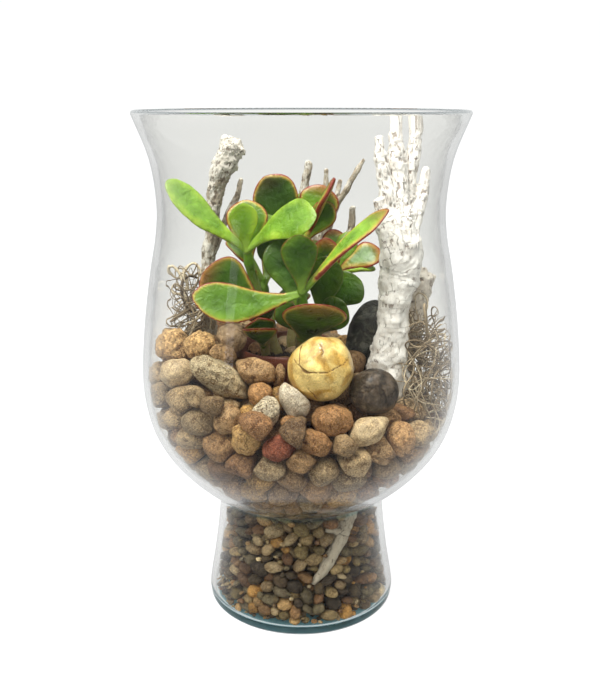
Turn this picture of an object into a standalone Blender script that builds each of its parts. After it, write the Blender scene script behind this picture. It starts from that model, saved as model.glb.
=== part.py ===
"""A jade plant arrangement in a footed glass vase, at its real size.

The glass is turned about the Z axis and stands on Z = 0. Gravel fills its foot,
river stones fill its bowl, and a nursery pot with six leafy stems sits among the
stones with driftwood and two tufts of curly vine. -Y is the front.

Lengths in this file are in millimetres; MM turns them into Blender's metres.
"""

import math
import random

import bmesh
import bpy
from mathutils import Euler, Matrix, Vector, noise

MM = 0.001
TOUCH = 0.35  # gap left between two pieces that touch
MOST_CORNER_SWELL = 1.6  # a sharp corner swells no more than this many times the gap

# The vase: radius of its outer wall at each height
VASE_HEIGHT = 300
GLASS_WALL = 3.4
GLASS_FLOOR = 9
FLOOR_ROUND = 2.2
VASE_SIDES = 32
NECK_HEIGHT = 71
FOOT_CURVE = ((55.5, 0), (57.8, 3.5), (57.9, 10), (54.2, 33), (50.2, 70))
BOWL_CURVE = (
    (50.6, 72), (61.2, 79), (73.8, 91), (84.4, 105), (91.6, 122), (94.8, 145),
    (92.9, 175), (88.3, 208), (84, 231), (82.9, 250), (86.1, 274), (95.2, 298.6),
)
RIM_ROUND = ((94.6, VASE_HEIGHT), (93.2, VASE_HEIGHT))

# The nursery pot and its soil
POT_CENTRE = (-8, -4)
POT_TOP = 165
POT_BOTTOM = 116
POT_RIM_RADIUS = 31
POT_FOOT_RADIUS = 23
POT_WALL = 1.4
POT_LIP = 2.2
POT_LIP_HEIGHT = 7
POT_SIDES = 20
SOIL_TOP = 159
SOIL_GAP = TOUCH + 0.1  # wider than TOUCH, for the slope of the pot's wall

# The stone bed: the height of its surface round the pot, and at the wall every 45
# degrees, from the right side by way of the back
BED_AT_POT = 157
BED_AT_WALL = (112, 132, 150, 160, 165, 153, 136, 121)
BED_POT_RADIUS = 32
BED_WALL_RADIUS = 88
BED_BOTTOM = NECK_HEIGHT + 3.5
BED_LID = 190  # above every stone of the bed
BED_CORE_SIDES = 12
BED_CORE_SET_IN = 9.5
BED_CORE_DROP = 6
BED_CORE_RINGS = (58, 36)
TOP_STONE_RINGS = (74, 55, 40)
TOP_STONE_PITCH = 27
SHOWN_STONE_CLEARANCE = 7
PROP_STONES = ((-56, -30, 156.5), (-45, -35, 157.5))  # under the two loose lumps at the left

# The gravel in the foot
GRAVEL_TOP = 74
GRAVEL_CORE_SET_IN = 6
GRAVEL_WAIST = 50  # height at which the core's cone turns upright

# Pebbles: half the length, then width and thickness as shares of it
STONE_HALF_LENGTH = (11.6, 13.8)
GRAVEL_HALF_LENGTH = (7.8, 9.2)
STONE_LENGTH_SHARE = 0.87
STONE_WIDTH_SHARE = (0.66, 0.74)
STONE_THICKNESS_SHARE = (0.52, 0.6)
COURSE_SHARE = 0.84  # height of a course as a share of the pitch along it
BED_CORNERS = 10
TOP_CORNERS = 11
GRAVEL_CORNERS = 8

GRAVEL_SEED = 5
STONE_SEED = 11


def metres(point):
    return Vector(point) * MM


def material(name, colour, roughness, transmission=0.0):
    """A Principled material; two pieces of one finish share it."""
    made = bpy.data.materials.get(name)
    if made:
        return made
    made = bpy.data.materials.new(name)
    made.use_nodes = True
    shader = made.node_tree.nodes["Principled BSDF"]
    shader.inputs["Base Color"].default_value = (*colour, 1)
    shader.inputs["Roughness"].default_value = roughness
    shader.inputs["Metallic"].default_value = 0
    shader.inputs["Transmission Weight"].default_value = transmission
    made.diffuse_color = (*colour, 1)
    return made


def solid(name, points, faces, finish=None, smooth=True):
    """An object from points in millimetres, its faces turned outwards."""
    mesh = bpy.data.meshes.new(name)
    mesh.from_pydata([metres(p) for p in points], [], faces)
    built = bmesh.new()
    built.from_mesh(mesh)
    bmesh.ops.recalc_face_normals(built, faces=built.faces)
    built.to_mesh(mesh)
    built.free()
    made = bpy.data.objects.new(name, mesh)
    bpy.context.scene.collection.objects.link(made)
    if finish:
        mesh.materials.append(finish)
    if smooth:
        mesh.shade_smooth()
    return made


def turned(profile, sides):
    """Points and faces of a solid of revolution. The profile of (radius, height)
    starts and ends on the axis."""
    points = []
    rows = []
    for radius, height in profile:
        if radius == 0:
            rows.append([len(points)])
            points.append((0, 0, height))
            continue
        rows.append(list(range(len(points), len(points) + sides)))
        for k in range(sides):
            angle = 2 * math.pi * k / sides
            points.append((radius * math.cos(angle), radius * math.sin(angle), height))
    return points, skin(rows)


def skin(rows):
    """Faces between neighbouring rows of point numbers. A row of one point is a tip."""
    faces = []
    for low, high in zip(rows, rows[1:]):
        count = max(len(low), len(high))
        for k in range(count):
            after = (k + 1) % count
            face = [low[k % len(low)], low[after % len(low)], high[after % len(high)], high[k % len(high)]]
            faces.append([p for i, p in enumerate(face) if p not in face[:i]])
    return faces


def combine(target, others, operation, solver="EXACT"):
    """Applies one Boolean of target with all the others, which are then removed."""
    if not others:
        return target
    group = bpy.data.collections.new("operands")
    bpy.context.scene.collection.children.link(group)
    for other in others:
        group.objects.link(other)
    join = target.modifiers.new("join", "BOOLEAN")
    join.operation = operation
    join.solver = solver
    join.operand_type = "COLLECTION"
    join.collection = group
    graph = bpy.context.evaluated_depsgraph_get()
    mesh = bpy.data.meshes.new_from_object(target.evaluated_get(graph))
    target.modifiers.clear()
    target.data = mesh
    for other in others:
        bpy.data.objects.remove(other)
    bpy.data.collections.remove(group)
    keep_largest_piece(target)
    return target


def keep_largest_piece(target):
    """Drops the loose scraps that a Boolean leaves."""
    built = bmesh.new()
    built.from_mesh(target.data)
    unseen = set(built.verts)
    pieces = []
    while unseen:
        grown = [unseen.pop()]
        for point in grown:
            for edge in point.link_edges:
                other = edge.other_vert(point)
                if other in unseen:
                    unseen.remove(other)
                    grown.append(other)
        pieces.append(grown)
    pieces.sort(key=len)
    bmesh.ops.delete(built, geom=[p for piece in pieces[:-1] for p in piece], context="VERTS")
    built.to_mesh(target.data)
    built.free()


def swollen(piece, clearance):
    """A copy of the piece, larger all round by the clearance."""
    copy = bpy.data.objects.new(piece.name + "_room", piece.data.copy())
    bpy.context.scene.collection.objects.link(copy)
    built = bmesh.new()
    built.from_mesh(copy.data)
    built.normal_update()
    moves = [(point, point.normal * point.calc_shell_factor()) for point in built.verts]
    for point, outwards in moves:
        point.co += outwards.normalized() * min(outwards.length, MOST_CORNER_SWELL) * clearance * MM
    built.to_mesh(copy.data)
    built.free()
    return copy


def box_of(piece):
    """The lowest and the highest corner of the box round a piece."""
    corners = [piece.matrix_world @ Vector(c) for c in piece.bound_box]
    low = Vector(min(c[i] for c in corners) for i in range(3))
    high = Vector(max(c[i] for c in corners) for i in range(3))
    return low, high


def near(one, other, reach=1.0):
    """Whether the boxes round two pieces come within reach of each other."""
    low_a, high_a = box_of(one)
    low_b, high_b = box_of(other)
    return all(
        low_a[i] - reach * MM < high_b[i] and low_b[i] - reach * MM < high_a[i] for i in range(3)
    )


def make_room(target, neighbours, solver="EXACT"):
    """Cuts the target back so that it only just touches its neighbours."""
    rooms = [swollen(n, TOUCH) for n in neighbours if near(target, n)]
    return combine(target, rooms, "DIFFERENCE", solver)


# Glass vase
def moved_inwards(curve, distance):
    """The curve of (radius, height) shifted towards the inside of the glass."""
    moved = []
    for k, (radius, height) in enumerate(curve):
        before = curve[max(k - 1, 0)]
        after = curve[min(k + 1, len(curve) - 1)]
        along = Vector((after[0] - before[0], after[1] - before[1])).normalized()
        moved.append((radius - along.y * distance, height + along.x * distance))
    return moved


def inner_wall(extra=0.0):
    """The inside of the glass, floor to rim, moved further in by extra."""
    floor = GLASS_FLOOR + extra
    foot = [p for p in moved_inwards(FOOT_CURVE, GLASS_WALL + extra) if p[1] > floor + FLOOR_ROUND]
    bowl = moved_inwards(BOWL_CURVE, GLASS_WALL + extra)
    return [(foot[0][0] - FLOOR_ROUND, floor)] + foot + bowl


def inner_radius(height):
    """Radius of the inside of the glass at a height."""
    wall = inner_wall()
    for low, high in zip(wall, wall[1:]):
        if low[1] <= height <= high[1]:
            share = (height - low[1]) / (high[1] - low[1])
            return low[0] + (high[0] - low[0]) * share
    return wall[0][0] if height < wall[0][1] else wall[-1][0]


def glass_vase():
    outside = [(0, 0)] + list(FOOT_CURVE) + list(BOWL_CURVE) + list(RIM_ROUND)
    inside = inner_wall()[::-1] + [(0, GLASS_FLOOR)]
    finish = material("clear_glass", (0.93, 0.97, 0.96), 0.02, 1.0)
    return solid("vase", *turned(outside + inside, VASE_SIDES), finish)


def cavity(low, high):
    """A cutter that fills the glass between two heights, just clear of the wall."""
    wall = [p for p in inner_wall(TOUCH) if low < p[1] < high]
    profile = [(0, low), (inner_radius(low) - TOUCH, low)] + wall
    profile += [(inner_radius(high) - TOUCH, high), (0, high)]
    return solid("cavity", *turned(profile, VASE_SIDES))


# Stones and gravel
def stone(name, centre, half_sizes, turn, seed, corners, lump=0.14, finish=None):
    """A pebble: the hull of points spread over a lumpy ellipsoid."""
    spin = Euler([math.radians(a) for a in turn]).to_matrix()
    built = bmesh.new()
    for k in range(corners):
        up = 1 - (2 * k + 1) / corners
        angle = k * math.pi * (3 - math.sqrt(5)) + seed
        out = math.sqrt(1 - up * up)
        way = Vector((out * math.cos(angle), out * math.sin(angle), up))
        reach = 1 + lump * noise.noise(way * 1.7 + Vector((seed * 3.1, 0, 0)))
        local = Vector(way[i] * half_sizes[i] * reach for i in range(3))
        built.verts.new(metres(spin @ local + Vector(centre)))
    bmesh.ops.convex_hull(built, input=built.verts)
    mesh = bpy.data.meshes.new(name)
    built.to_mesh(mesh)
    built.free()
    made = bpy.data.objects.new(name, mesh)
    bpy.context.scene.collection.objects.link(made)
    if finish:
        mesh.materials.append(finish)
    return made


def bed_surface(x, y):
    """Height of the stone bed at (x, y): eased from one wall height to the next, and
    straight from the wall to the pot."""
    turn = math.atan2(y, x) / (2 * math.pi) * len(BED_AT_WALL)
    before = math.floor(turn)
    blend = (1 - math.cos(math.pi * (turn - before))) / 2
    low = BED_AT_WALL[before % len(BED_AT_WALL)]
    high = BED_AT_WALL[(before + 1) % len(BED_AT_WALL)]
    at_wall = low + (high - low) * blend
    share = (math.hypot(x, y) - BED_POT_RADIUS) / (BED_WALL_RADIUS - BED_POT_RADIUS)
    return BED_AT_POT + (at_wall - BED_AT_POT) * min(max(share, 0), 1)


def up_the_wall(bottom, step):
    """Heights on the inner wall, each one step further along the glass than the last."""
    height = bottom
    while height < VASE_HEIGHT - step:
        yield height
        slope = (inner_radius(height + 1) - inner_radius(height - 1)) / 2
        height += step / math.hypot(slope, 1)


def wall_stones(name, bottom, top_at, half_length, seed, corners):
    """Courses of stones with their flat sides on the glass, as high as top_at(angle)."""
    draw = random.Random(seed)
    made = []
    pitch = half_length[0] + half_length[1]
    for course, middle in enumerate(up_the_wall(bottom, pitch * COURSE_SHARE)):
        count = int(2 * math.pi * inner_radius(middle) / pitch)
        for k in range(count):
            angle = 2 * math.pi * (k + course % 2 / 2 + draw.uniform(-0.12, 0.12)) / count
            height = middle + draw.uniform(-0.1, 0.1) * pitch
            length = draw.uniform(*half_length)
            slant = draw.uniform(-0.6, 0.6)
            if height > top_at(angle):
                continue
            width = length * draw.uniform(*STONE_WIDTH_SHARE)
            thickness = length * draw.uniform(*STONE_THICKNESS_SHARE)
            half_sizes = (length * STONE_LENGTH_SHARE, width, thickness)
            slope = (inner_radius(height + 1) - inner_radius(height - 1)) / 2
            outwards = Vector((math.cos(angle), math.sin(angle), 0))
            up_wall = (outwards * slope + Vector((0, 0, 1))).normalized()
            inwards = (Vector((0, 0, 1)) * slope - outwards).normalized()
            frame = Matrix((up_wall.cross(inwards), up_wall, inwards)).transposed()
            turn = [math.degrees(a) for a in (frame @ Matrix.Rotation(slant, 3, "Z")).to_euler()]
            off_wall = half_sizes[2] + length**2 / (2 * inner_radius(height)) + TOUCH
            centre = outwards * inner_radius(height) + Vector((0, 0, height)) + inwards * off_wall
            made.append(stone(f"{name}_{len(made)}", centre, half_sizes, turn, seed + len(made), corners))
    return made


def foot_gravel():
    """Fine gravel in the foot: a core with pebbles standing out of it on every side."""
    levels = (GLASS_FLOOR + 1.2, GRAVEL_WAIST, GRAVEL_TOP)
    side = [(inner_radius(height) - GRAVEL_CORE_SET_IN, height) for height in levels]
    profile = [(0, levels[0]), *side, (0, levels[-1])]
    finish = material("gravel", (0.42, 0.34, 0.24), 0.7)
    gravel = solid("foot_gravel", *turned(profile, BED_CORE_SIDES), finish, smooth=False)
    first_course = GLASS_FLOOR + GRAVEL_HALF_LENGTH[0] - 0.8
    pebbles = wall_stones(
        "pebble", first_course, lambda angle: GRAVEL_TOP - 5, GRAVEL_HALF_LENGTH, GRAVEL_SEED, GRAVEL_CORNERS
    )
    combine(gravel, pebbles, "UNION", "MANIFOLD")
    return combine(gravel, [cavity(GLASS_FLOOR + TOUCH, GRAVEL_TOP)], "INTERSECT", "MANIFOLD")


def bed_core():
    """The inside of the stone bed, lower than its surface and in from the glass."""
    low = BED_BOTTOM + 1
    ways = []
    for k in range(BED_CORE_SIDES):
        angle = 2 * math.pi * k / BED_CORE_SIDES
        ways.append((math.cos(angle), math.sin(angle)))
    rings = []
    for share in (0, 0.5, 1):
        ring = []
        for x, y in ways:
            top = bed_surface(x * BED_WALL_RADIUS, y * BED_WALL_RADIUS) - BED_CORE_DROP
            height = low + (top - low) * share
            radius = inner_radius(height) - BED_CORE_SET_IN
            ring.append((x * radius, y * radius, height))
        rings.append(ring)
    for radius in BED_CORE_RINGS:
        spots = [(x * radius, y * radius) for x, y in ways]
        rings.append([(x, y, bed_surface(x, y) - BED_CORE_DROP) for x, y in spots])
    points = [(0, 0, low)]
    rows = [[0]]
    for ring in rings:
        rows.append(list(range(len(points), len(points) + len(ring))))
        points += ring
    rows.append([len(points)])
    points.append((0, 0, BED_AT_POT - BED_CORE_DROP - 2))
    return points, skin(rows)


def loose_top_stones():
    """Stones that cover the top of the bed between the wall and the pot."""
    draw = random.Random(STONE_SEED + 1)
    made = []
    for ring in TOP_STONE_RINGS:
        count = int(2 * math.pi * ring / TOP_STONE_PITCH)
        for k in range(count):
            angle = 2 * math.pi * (k + draw.uniform(-0.25, 0.25)) / count
            radius = ring + draw.uniform(-3, 3)
            x, y = radius * math.cos(angle), radius * math.sin(angle)
            length = draw.uniform(*STONE_HALF_LENGTH)
            half_sizes = (length * 0.9, length * draw.uniform(0.7, 0.8), length * draw.uniform(0.5, 0.6))
            turn = (draw.uniform(-25, 25), draw.uniform(-25, 25), draw.uniform(0, 180))
            apart = min(math.dist((x, y), shown[0][:2]) for shown in SHOWN_STONES.values())
            if apart < SHOWN_STONE_CLEARANCE:
                continue
            centre = (x, y, bed_surface(x, y) - 2)
            made.append(stone(f"top_{ring}_{k}", centre, half_sizes, turn, ring + k, TOP_CORNERS))
    for k, centre in enumerate(PROP_STONES):
        made.append(stone(f"prop_{k}", centre, (11, 9, 7), (0, 0, 40 * k), k, TOP_CORNERS))
    return made


def stone_bed():
    """The river stones in the bowl: a core covered with stones all round and on top."""
    finish = material("river_stone", (0.52, 0.38, 0.25), 0.6)
    bed = solid("stone_bed", *bed_core(), finish, smooth=False)

    def top_at(angle):
        return bed_surface(BED_WALL_RADIUS * math.cos(angle), BED_WALL_RADIUS * math.sin(angle)) - 2

    first_course = BED_BOTTOM + 5.5
    stones = wall_stones("wall", first_course, top_at, STONE_HALF_LENGTH, STONE_SEED, BED_CORNERS)
    combine(bed, stones + loose_top_stones(), "UNION", "MANIFOLD")
    return combine(bed, [cavity(BED_BOTTOM, BED_LID)], "INTERSECT", "MANIFOLD")


# Stones that are seen one by one: centre, half sizes, turn in degrees, colour
TAN = (0.55, 0.41, 0.27)
PALE = (0.68, 0.61, 0.49)
RUST = (0.42, 0.23, 0.14)
SHOWN_STONES = {
    "stone_yellow": ((10.8, -57, 165.5), (18, 16.5, 17.5), (0, 0, 15), (0.82, 0.62, 0.25), 36),
    "stone_dark_round": ((39, -56, 152), (14, 12.5, 12.5), (0, 8, 10), (0.13, 0.1, 0.08), 22),
    "stone_dark_upright": ((40, 3, 168), (12.5, 8.5, 24), (0, 16, 10), (0.06, 0.06, 0.06), 24),
    "stone_cream": ((-68, -42, 158.5), (10.3, 8.6, 8.3), (0, -12, 18), PALE, 22),
    "stone_grey_long": ((-45, -50, 158.5), (19.5, 8.5, 8.2), (8, 33, 6), (0.56, 0.49, 0.37), 22),
    "stone_tan_long": ((-25, -48, 161), (12.5, 7.5, 7), (0, 6, -6), TAN, 22),
    "stone_chip_upright": ((-12.3, -44, 157), (3.6, 4.5, 7.4), (0, 4, 0), TAN, 18),
    "stone_pale_oval": ((-3.2, -65, 150.5), (8.2, 7.5, 11.2), (0, -14, 0), (0.66, 0.6, 0.5), 22),
    "stone_rust_oval": ((16, -71, 140.5), (11, 8.5, 9), (0, 6, 0), RUST, 22),
    "stone_cream_flat": ((34, -70, 134), (12.6, 7.5, 7.4), (0, -22, 8), PALE, 22),
    "stone_orange": ((54, -60, 126.5), (7.8, 7.4, 9.8), (0, -8, 30), (0.55, 0.36, 0.2), 22),
    "stone_brown_low": ((42.5, -65, 122.5), (9.2, 7.5, 8), (0, 12, 18), TAN, 18),
    "stone_rough_small": ((-22.5, -58, 151), (7.2, 6.5, 6.4), (0, -40, 0), (0.45, 0.27, 0.13), 18),
    "stone_grey_speckled": ((-18.5, -69, 144), (7.4, 6.8, 9.6), (0, 28, 0), (0.5, 0.45, 0.36), 18),
    "stone_golden": ((-29, -75, 132), (7.7, 7, 9.6), (0, -8, 18), (0.52, 0.35, 0.17), 22),
    "stone_red": ((-11.7, -79, 128.5), (9, 6.3, 6.9), (0, -8, 8), (0.42, 0.16, 0.09), 18),
    "stone_umber": ((7.4, -79, 131.5), (9.4, 6.5, 7), (0, 30, -4), RUST, 18),
    "stone_small_umber": ((-6.2, -72, 139.5), (5, 5, 4.5), (0, 0, 0), RUST, 18),
    "stone_tan_left": ((-39.5, -67, 140), (7.2, 7, 8.6), (0, 18, 30), TAN, 18),
    "stone_pumice_wall": ((-75, -14, 166), (10.5, 10, 10.8), (0, 10, 0), (0.6, 0.46, 0.29), 26),
    "stone_pumice_front": ((-57.5, -29, 170), (9, 8, 7.8), (0, 0, 15), (0.6, 0.46, 0.29), 22),
    "stone_pumice_small": ((-44, -36, 167), (7, 6.5, 6), (0, 20, 0), TAN, 18),
    "stone_by_leaf": ((-40, -20, 173), (8.5, 8, 9.4), (0, -15, 0), (0.5, 0.38, 0.25), 22),
}


def shown_stones(standing):
    """The stones that lie free on the bed, each cut to sit against those before it."""
    placed = []
    for number, (name, (centre, half_sizes, turn, colour, corners)) in enumerate(SHOWN_STONES.items()):
        finish = material(name, colour, 0.5)
        made = stone(name, centre, half_sizes, turn, number, corners, 0.16, finish)
        make_room(made, placed + standing)
        placed.append(made)
    return placed


# Nursery pot
def pot_and_soil():
    """The plastic pot and the soil in it. The stems stand in plain holes in the soil."""
    def pot_radius(height):
        share = (height - POT_BOTTOM) / (POT_TOP - POT_BOTTOM)
        return POT_FOOT_RADIUS + (POT_RIM_RADIUS - POT_LIP - POT_FOOT_RADIUS) * share

    lip_low = POT_TOP - POT_LIP_HEIGHT
    outside = [
        (0, POT_BOTTOM), (POT_FOOT_RADIUS, POT_BOTTOM), (pot_radius(lip_low), lip_low),
        (POT_RIM_RADIUS, lip_low + 0.6), (POT_RIM_RADIUS, POT_TOP),
    ]
    inside = [
        (POT_RIM_RADIUS - POT_WALL - 0.4, POT_TOP),
        (pot_radius(SOIL_TOP) - POT_WALL, SOIL_TOP + 0.8),
        (POT_FOOT_RADIUS - POT_WALL, POT_BOTTOM + POT_WALL), (0, POT_BOTTOM + POT_WALL),
    ]
    soil_profile = [
        (0, POT_BOTTOM + POT_WALL + TOUCH),
        (POT_FOOT_RADIUS - POT_WALL - SOIL_GAP, POT_BOTTOM + POT_WALL + TOUCH),
        (pot_radius(SOIL_TOP) - POT_WALL - SOIL_GAP, SOIL_TOP - 1.5),
        (pot_radius(SOIL_TOP) - 6, SOIL_TOP), (0, SOIL_TOP + 1),
    ]
    pot_finish = material("pot_plastic", (0.2, 0.07, 0.045), 0.45)
    soil_finish = material("potting_soil", (0.05, 0.035, 0.025), 0.95)
    pot = solid("nursery_pot", *turned(outside + inside, POT_SIDES), pot_finish)
    soil = solid("potting_soil", *turned(soil_profile, POT_SIDES), soil_finish)
    for piece in (pot, soil):
        piece.data.transform(Matrix.Translation(metres((*POT_CENTRE, 0))))
    return pot, soil


# Driftwood
def limb(name, path, sides=8, roughness=0.1, seed=0):
    """A gnarled round limb. The path lists (x, y, z, radius) along it."""
    spots = [Vector(p[:3]) for p in path]
    points = [spots[0]]
    rows = [[0]]
    for k, spot in enumerate(spots):
        along = (spots[min(k + 1, len(spots) - 1)] - spots[max(k - 1, 0)]).normalized()
        aside = along.cross(Vector((0.31, 0.9, 0.17))).normalized()
        other = along.cross(aside)
        rows.append(list(range(len(points), len(points) + sides)))
        for j in range(sides):
            angle = 2 * math.pi * j / sides + 0.4 * k
            bump = 1 + roughness * noise.noise(Vector((j * 1.3 + seed, k * 1.7, seed * 2.3)))
            offset = (aside * math.cos(angle) + other * math.sin(angle)) * path[k][3] * bump
            points.append(spot + offset)
    rows.append([len(points)])
    points.append(spots[-1])
    return solid(name, points, skin(rows), smooth=False)


# Each limb of a piece of driftwood: x, y, z, radius along it
TALL_DRIFTWOOD = (
    ((52, -12, 124, 9), (51, -15, 146, 12.5), (51, -16, 160, 11), (53, -17, 176, 9.3), (53, -17, 192, 8.6),
     (56, -15, 208, 11.4), (57, -14, 222, 12.2), (55, -11, 240, 9.5), (54, -9, 252, 6)),
    ((53, -12, 232, 6.5), (49, -12, 252, 5.2), (45, -11, 270, 4), (43, -10, 284, 2.6)),
    ((55, -9, 238, 7), (55, -5, 258, 6.2), (54, -2, 277, 4.6), (54, 0, 291, 2.8)),
    ((57, -8, 236, 6), (61, 0, 256, 4.8), (65, 6, 277, 4.2), (67.5, 9, 294, 3.2)),
    ((59, -12, 222, 6.5), (65, -5, 240, 5), (70, 1, 254, 4), (73.5, 4, 266, 2.8)),
    ((52, -15, 222, 6), (46, -16, 238, 4.6), (43, -16, 252, 2.8)),
    ((57, -15, 214, 7), (64.5, -13, 218, 4.6), (67.5, -12, 220, 3)),
)
STUMP = (
    ((60, 10, 118, 5.5), (64, 12, 150, 6), (68, 13, 172, 7), (71, 14, 190, 8.2), (73, 14, 203, 9)),
    ((70, 14, 184, 6), (66, 17, 196, 4.5), (65, 18, 202, 3)),
)
LEFT_DRIFTWOOD = (
    ((-57, 27, 132, 5.2), (-58, 28, 160, 5), (-59, 29, 185, 4.6), (-58, 30, 209, 4.4), (-55, 30, 233, 4.3),
     (-53, 30, 249, 5.2), (-50, 30, 261, 6.6), (-44, 30, 271, 7.4), (-38, 30, 277, 6.2)),
    ((-49, 30, 262, 5.5), (-46, 31, 274, 4.6), (-46, 31, 281, 3)),
    ((-56, 30, 214, 3.2), (-49, 37, 230, 2.4), (-41, 45, 247, 2), (-38, 48, 257, 1.5)),
)
BACK_DRIFTWOOD = (
    ((12, 50, 128, 6.2), (13, 50, 160, 5.6), (14, 50, 190, 5), (12, 51, 215, 4)),
    ((12, 50, 208, 3.8), (4, 51, 230, 3.2), (2, 51, 250, 2.9), (5, 51, 266, 2.3)),
    ((12, 50, 212, 3.4), (15, 51, 236, 2.4), (16, 51, 262, 1.7)),
    ((13, 50, 205, 3.2), (20, 46, 236, 2.2), (29, 43, 253, 1.8), (39, 42, 268, 1.3)),
    ((19, 47, 232, 2.2), (22, 50, 246, 2), (25, 52, 256, 1.6)),
    ((13, 50, 192, 3.4), (25, 52, 208, 2.8), (32, 52, 226, 2.4), (33, 52, 240, 2.1)),
)
FOOT_DRIFTWOOD = (
    ((27, -25, 84, 4.4), (28, -29.5, 72, 4.6), (25.5, -33, 61, 4.6), (20, -38.5, 49, 3.9),
     (13, -43.5, 37, 3), (7, -46, 29, 1.6)),
    ((24, -35, 57, 3), (18, -38, 60, 2.4), (14, -40, 61, 1.4)),
)


def driftwood(name, limbs, colour, sides=8):
    """A piece of driftwood: its limbs grown together."""
    finish = material(name, colour, 0.8)
    trunk = limb(name, limbs[0], sides, 0.12, len(limbs))
    twigs = [limb(f"{name}_{k}", path, 6, 0.12, k) for k, path in enumerate(limbs[1:])]
    combine(trunk, twigs, "UNION")
    trunk.data.materials.clear()
    trunk.data.materials.append(finish)
    return trunk


# Leafy stems
LEAF_RINGS = (0, 0.3, 0.55, 0.78, 0.95)
LEAF_SIDES = 6
LEAF_THICKNESS = 4.2
PETIOLE_SHARE = 0.22


def leaf(name, base, tip, facing, width, arch):
    """A thick spoon-shaped leaf: a lens across, narrow at its foot, round at its tip."""
    base, tip = Vector(base), Vector(tip)
    along = tip - base
    across = Vector(facing).cross(along).normalized()
    face = along.cross(across).normalized()
    points = [base]
    rows = [[0]]
    for share in LEAF_RINGS:
        blade = math.sin(math.pi * share**2.1) ** 0.6 if share else 0
        half_width = width / 2 * math.hypot(blade, PETIOLE_SHARE * (1 - share))
        half_depth = LEAF_THICKNESS / 2 * math.sqrt(1 - share**5)
        middle = base + along * share + Vector((0, 0, arch * 4 * share * (1 - share)))
        rows.append(list(range(len(points), len(points) + LEAF_SIDES)))
        for k in range(LEAF_SIDES):
            angle = 2 * math.pi * k / LEAF_SIDES
            out = half_width * math.cos(angle)
            lift = half_depth * math.sin(angle) + 0.08 * abs(out)
            points.append(middle + across * out + face * lift)
    rows.append([len(points)])
    points.append(tip)
    return solid(name, points, skin(rows), smooth=False)


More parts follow.
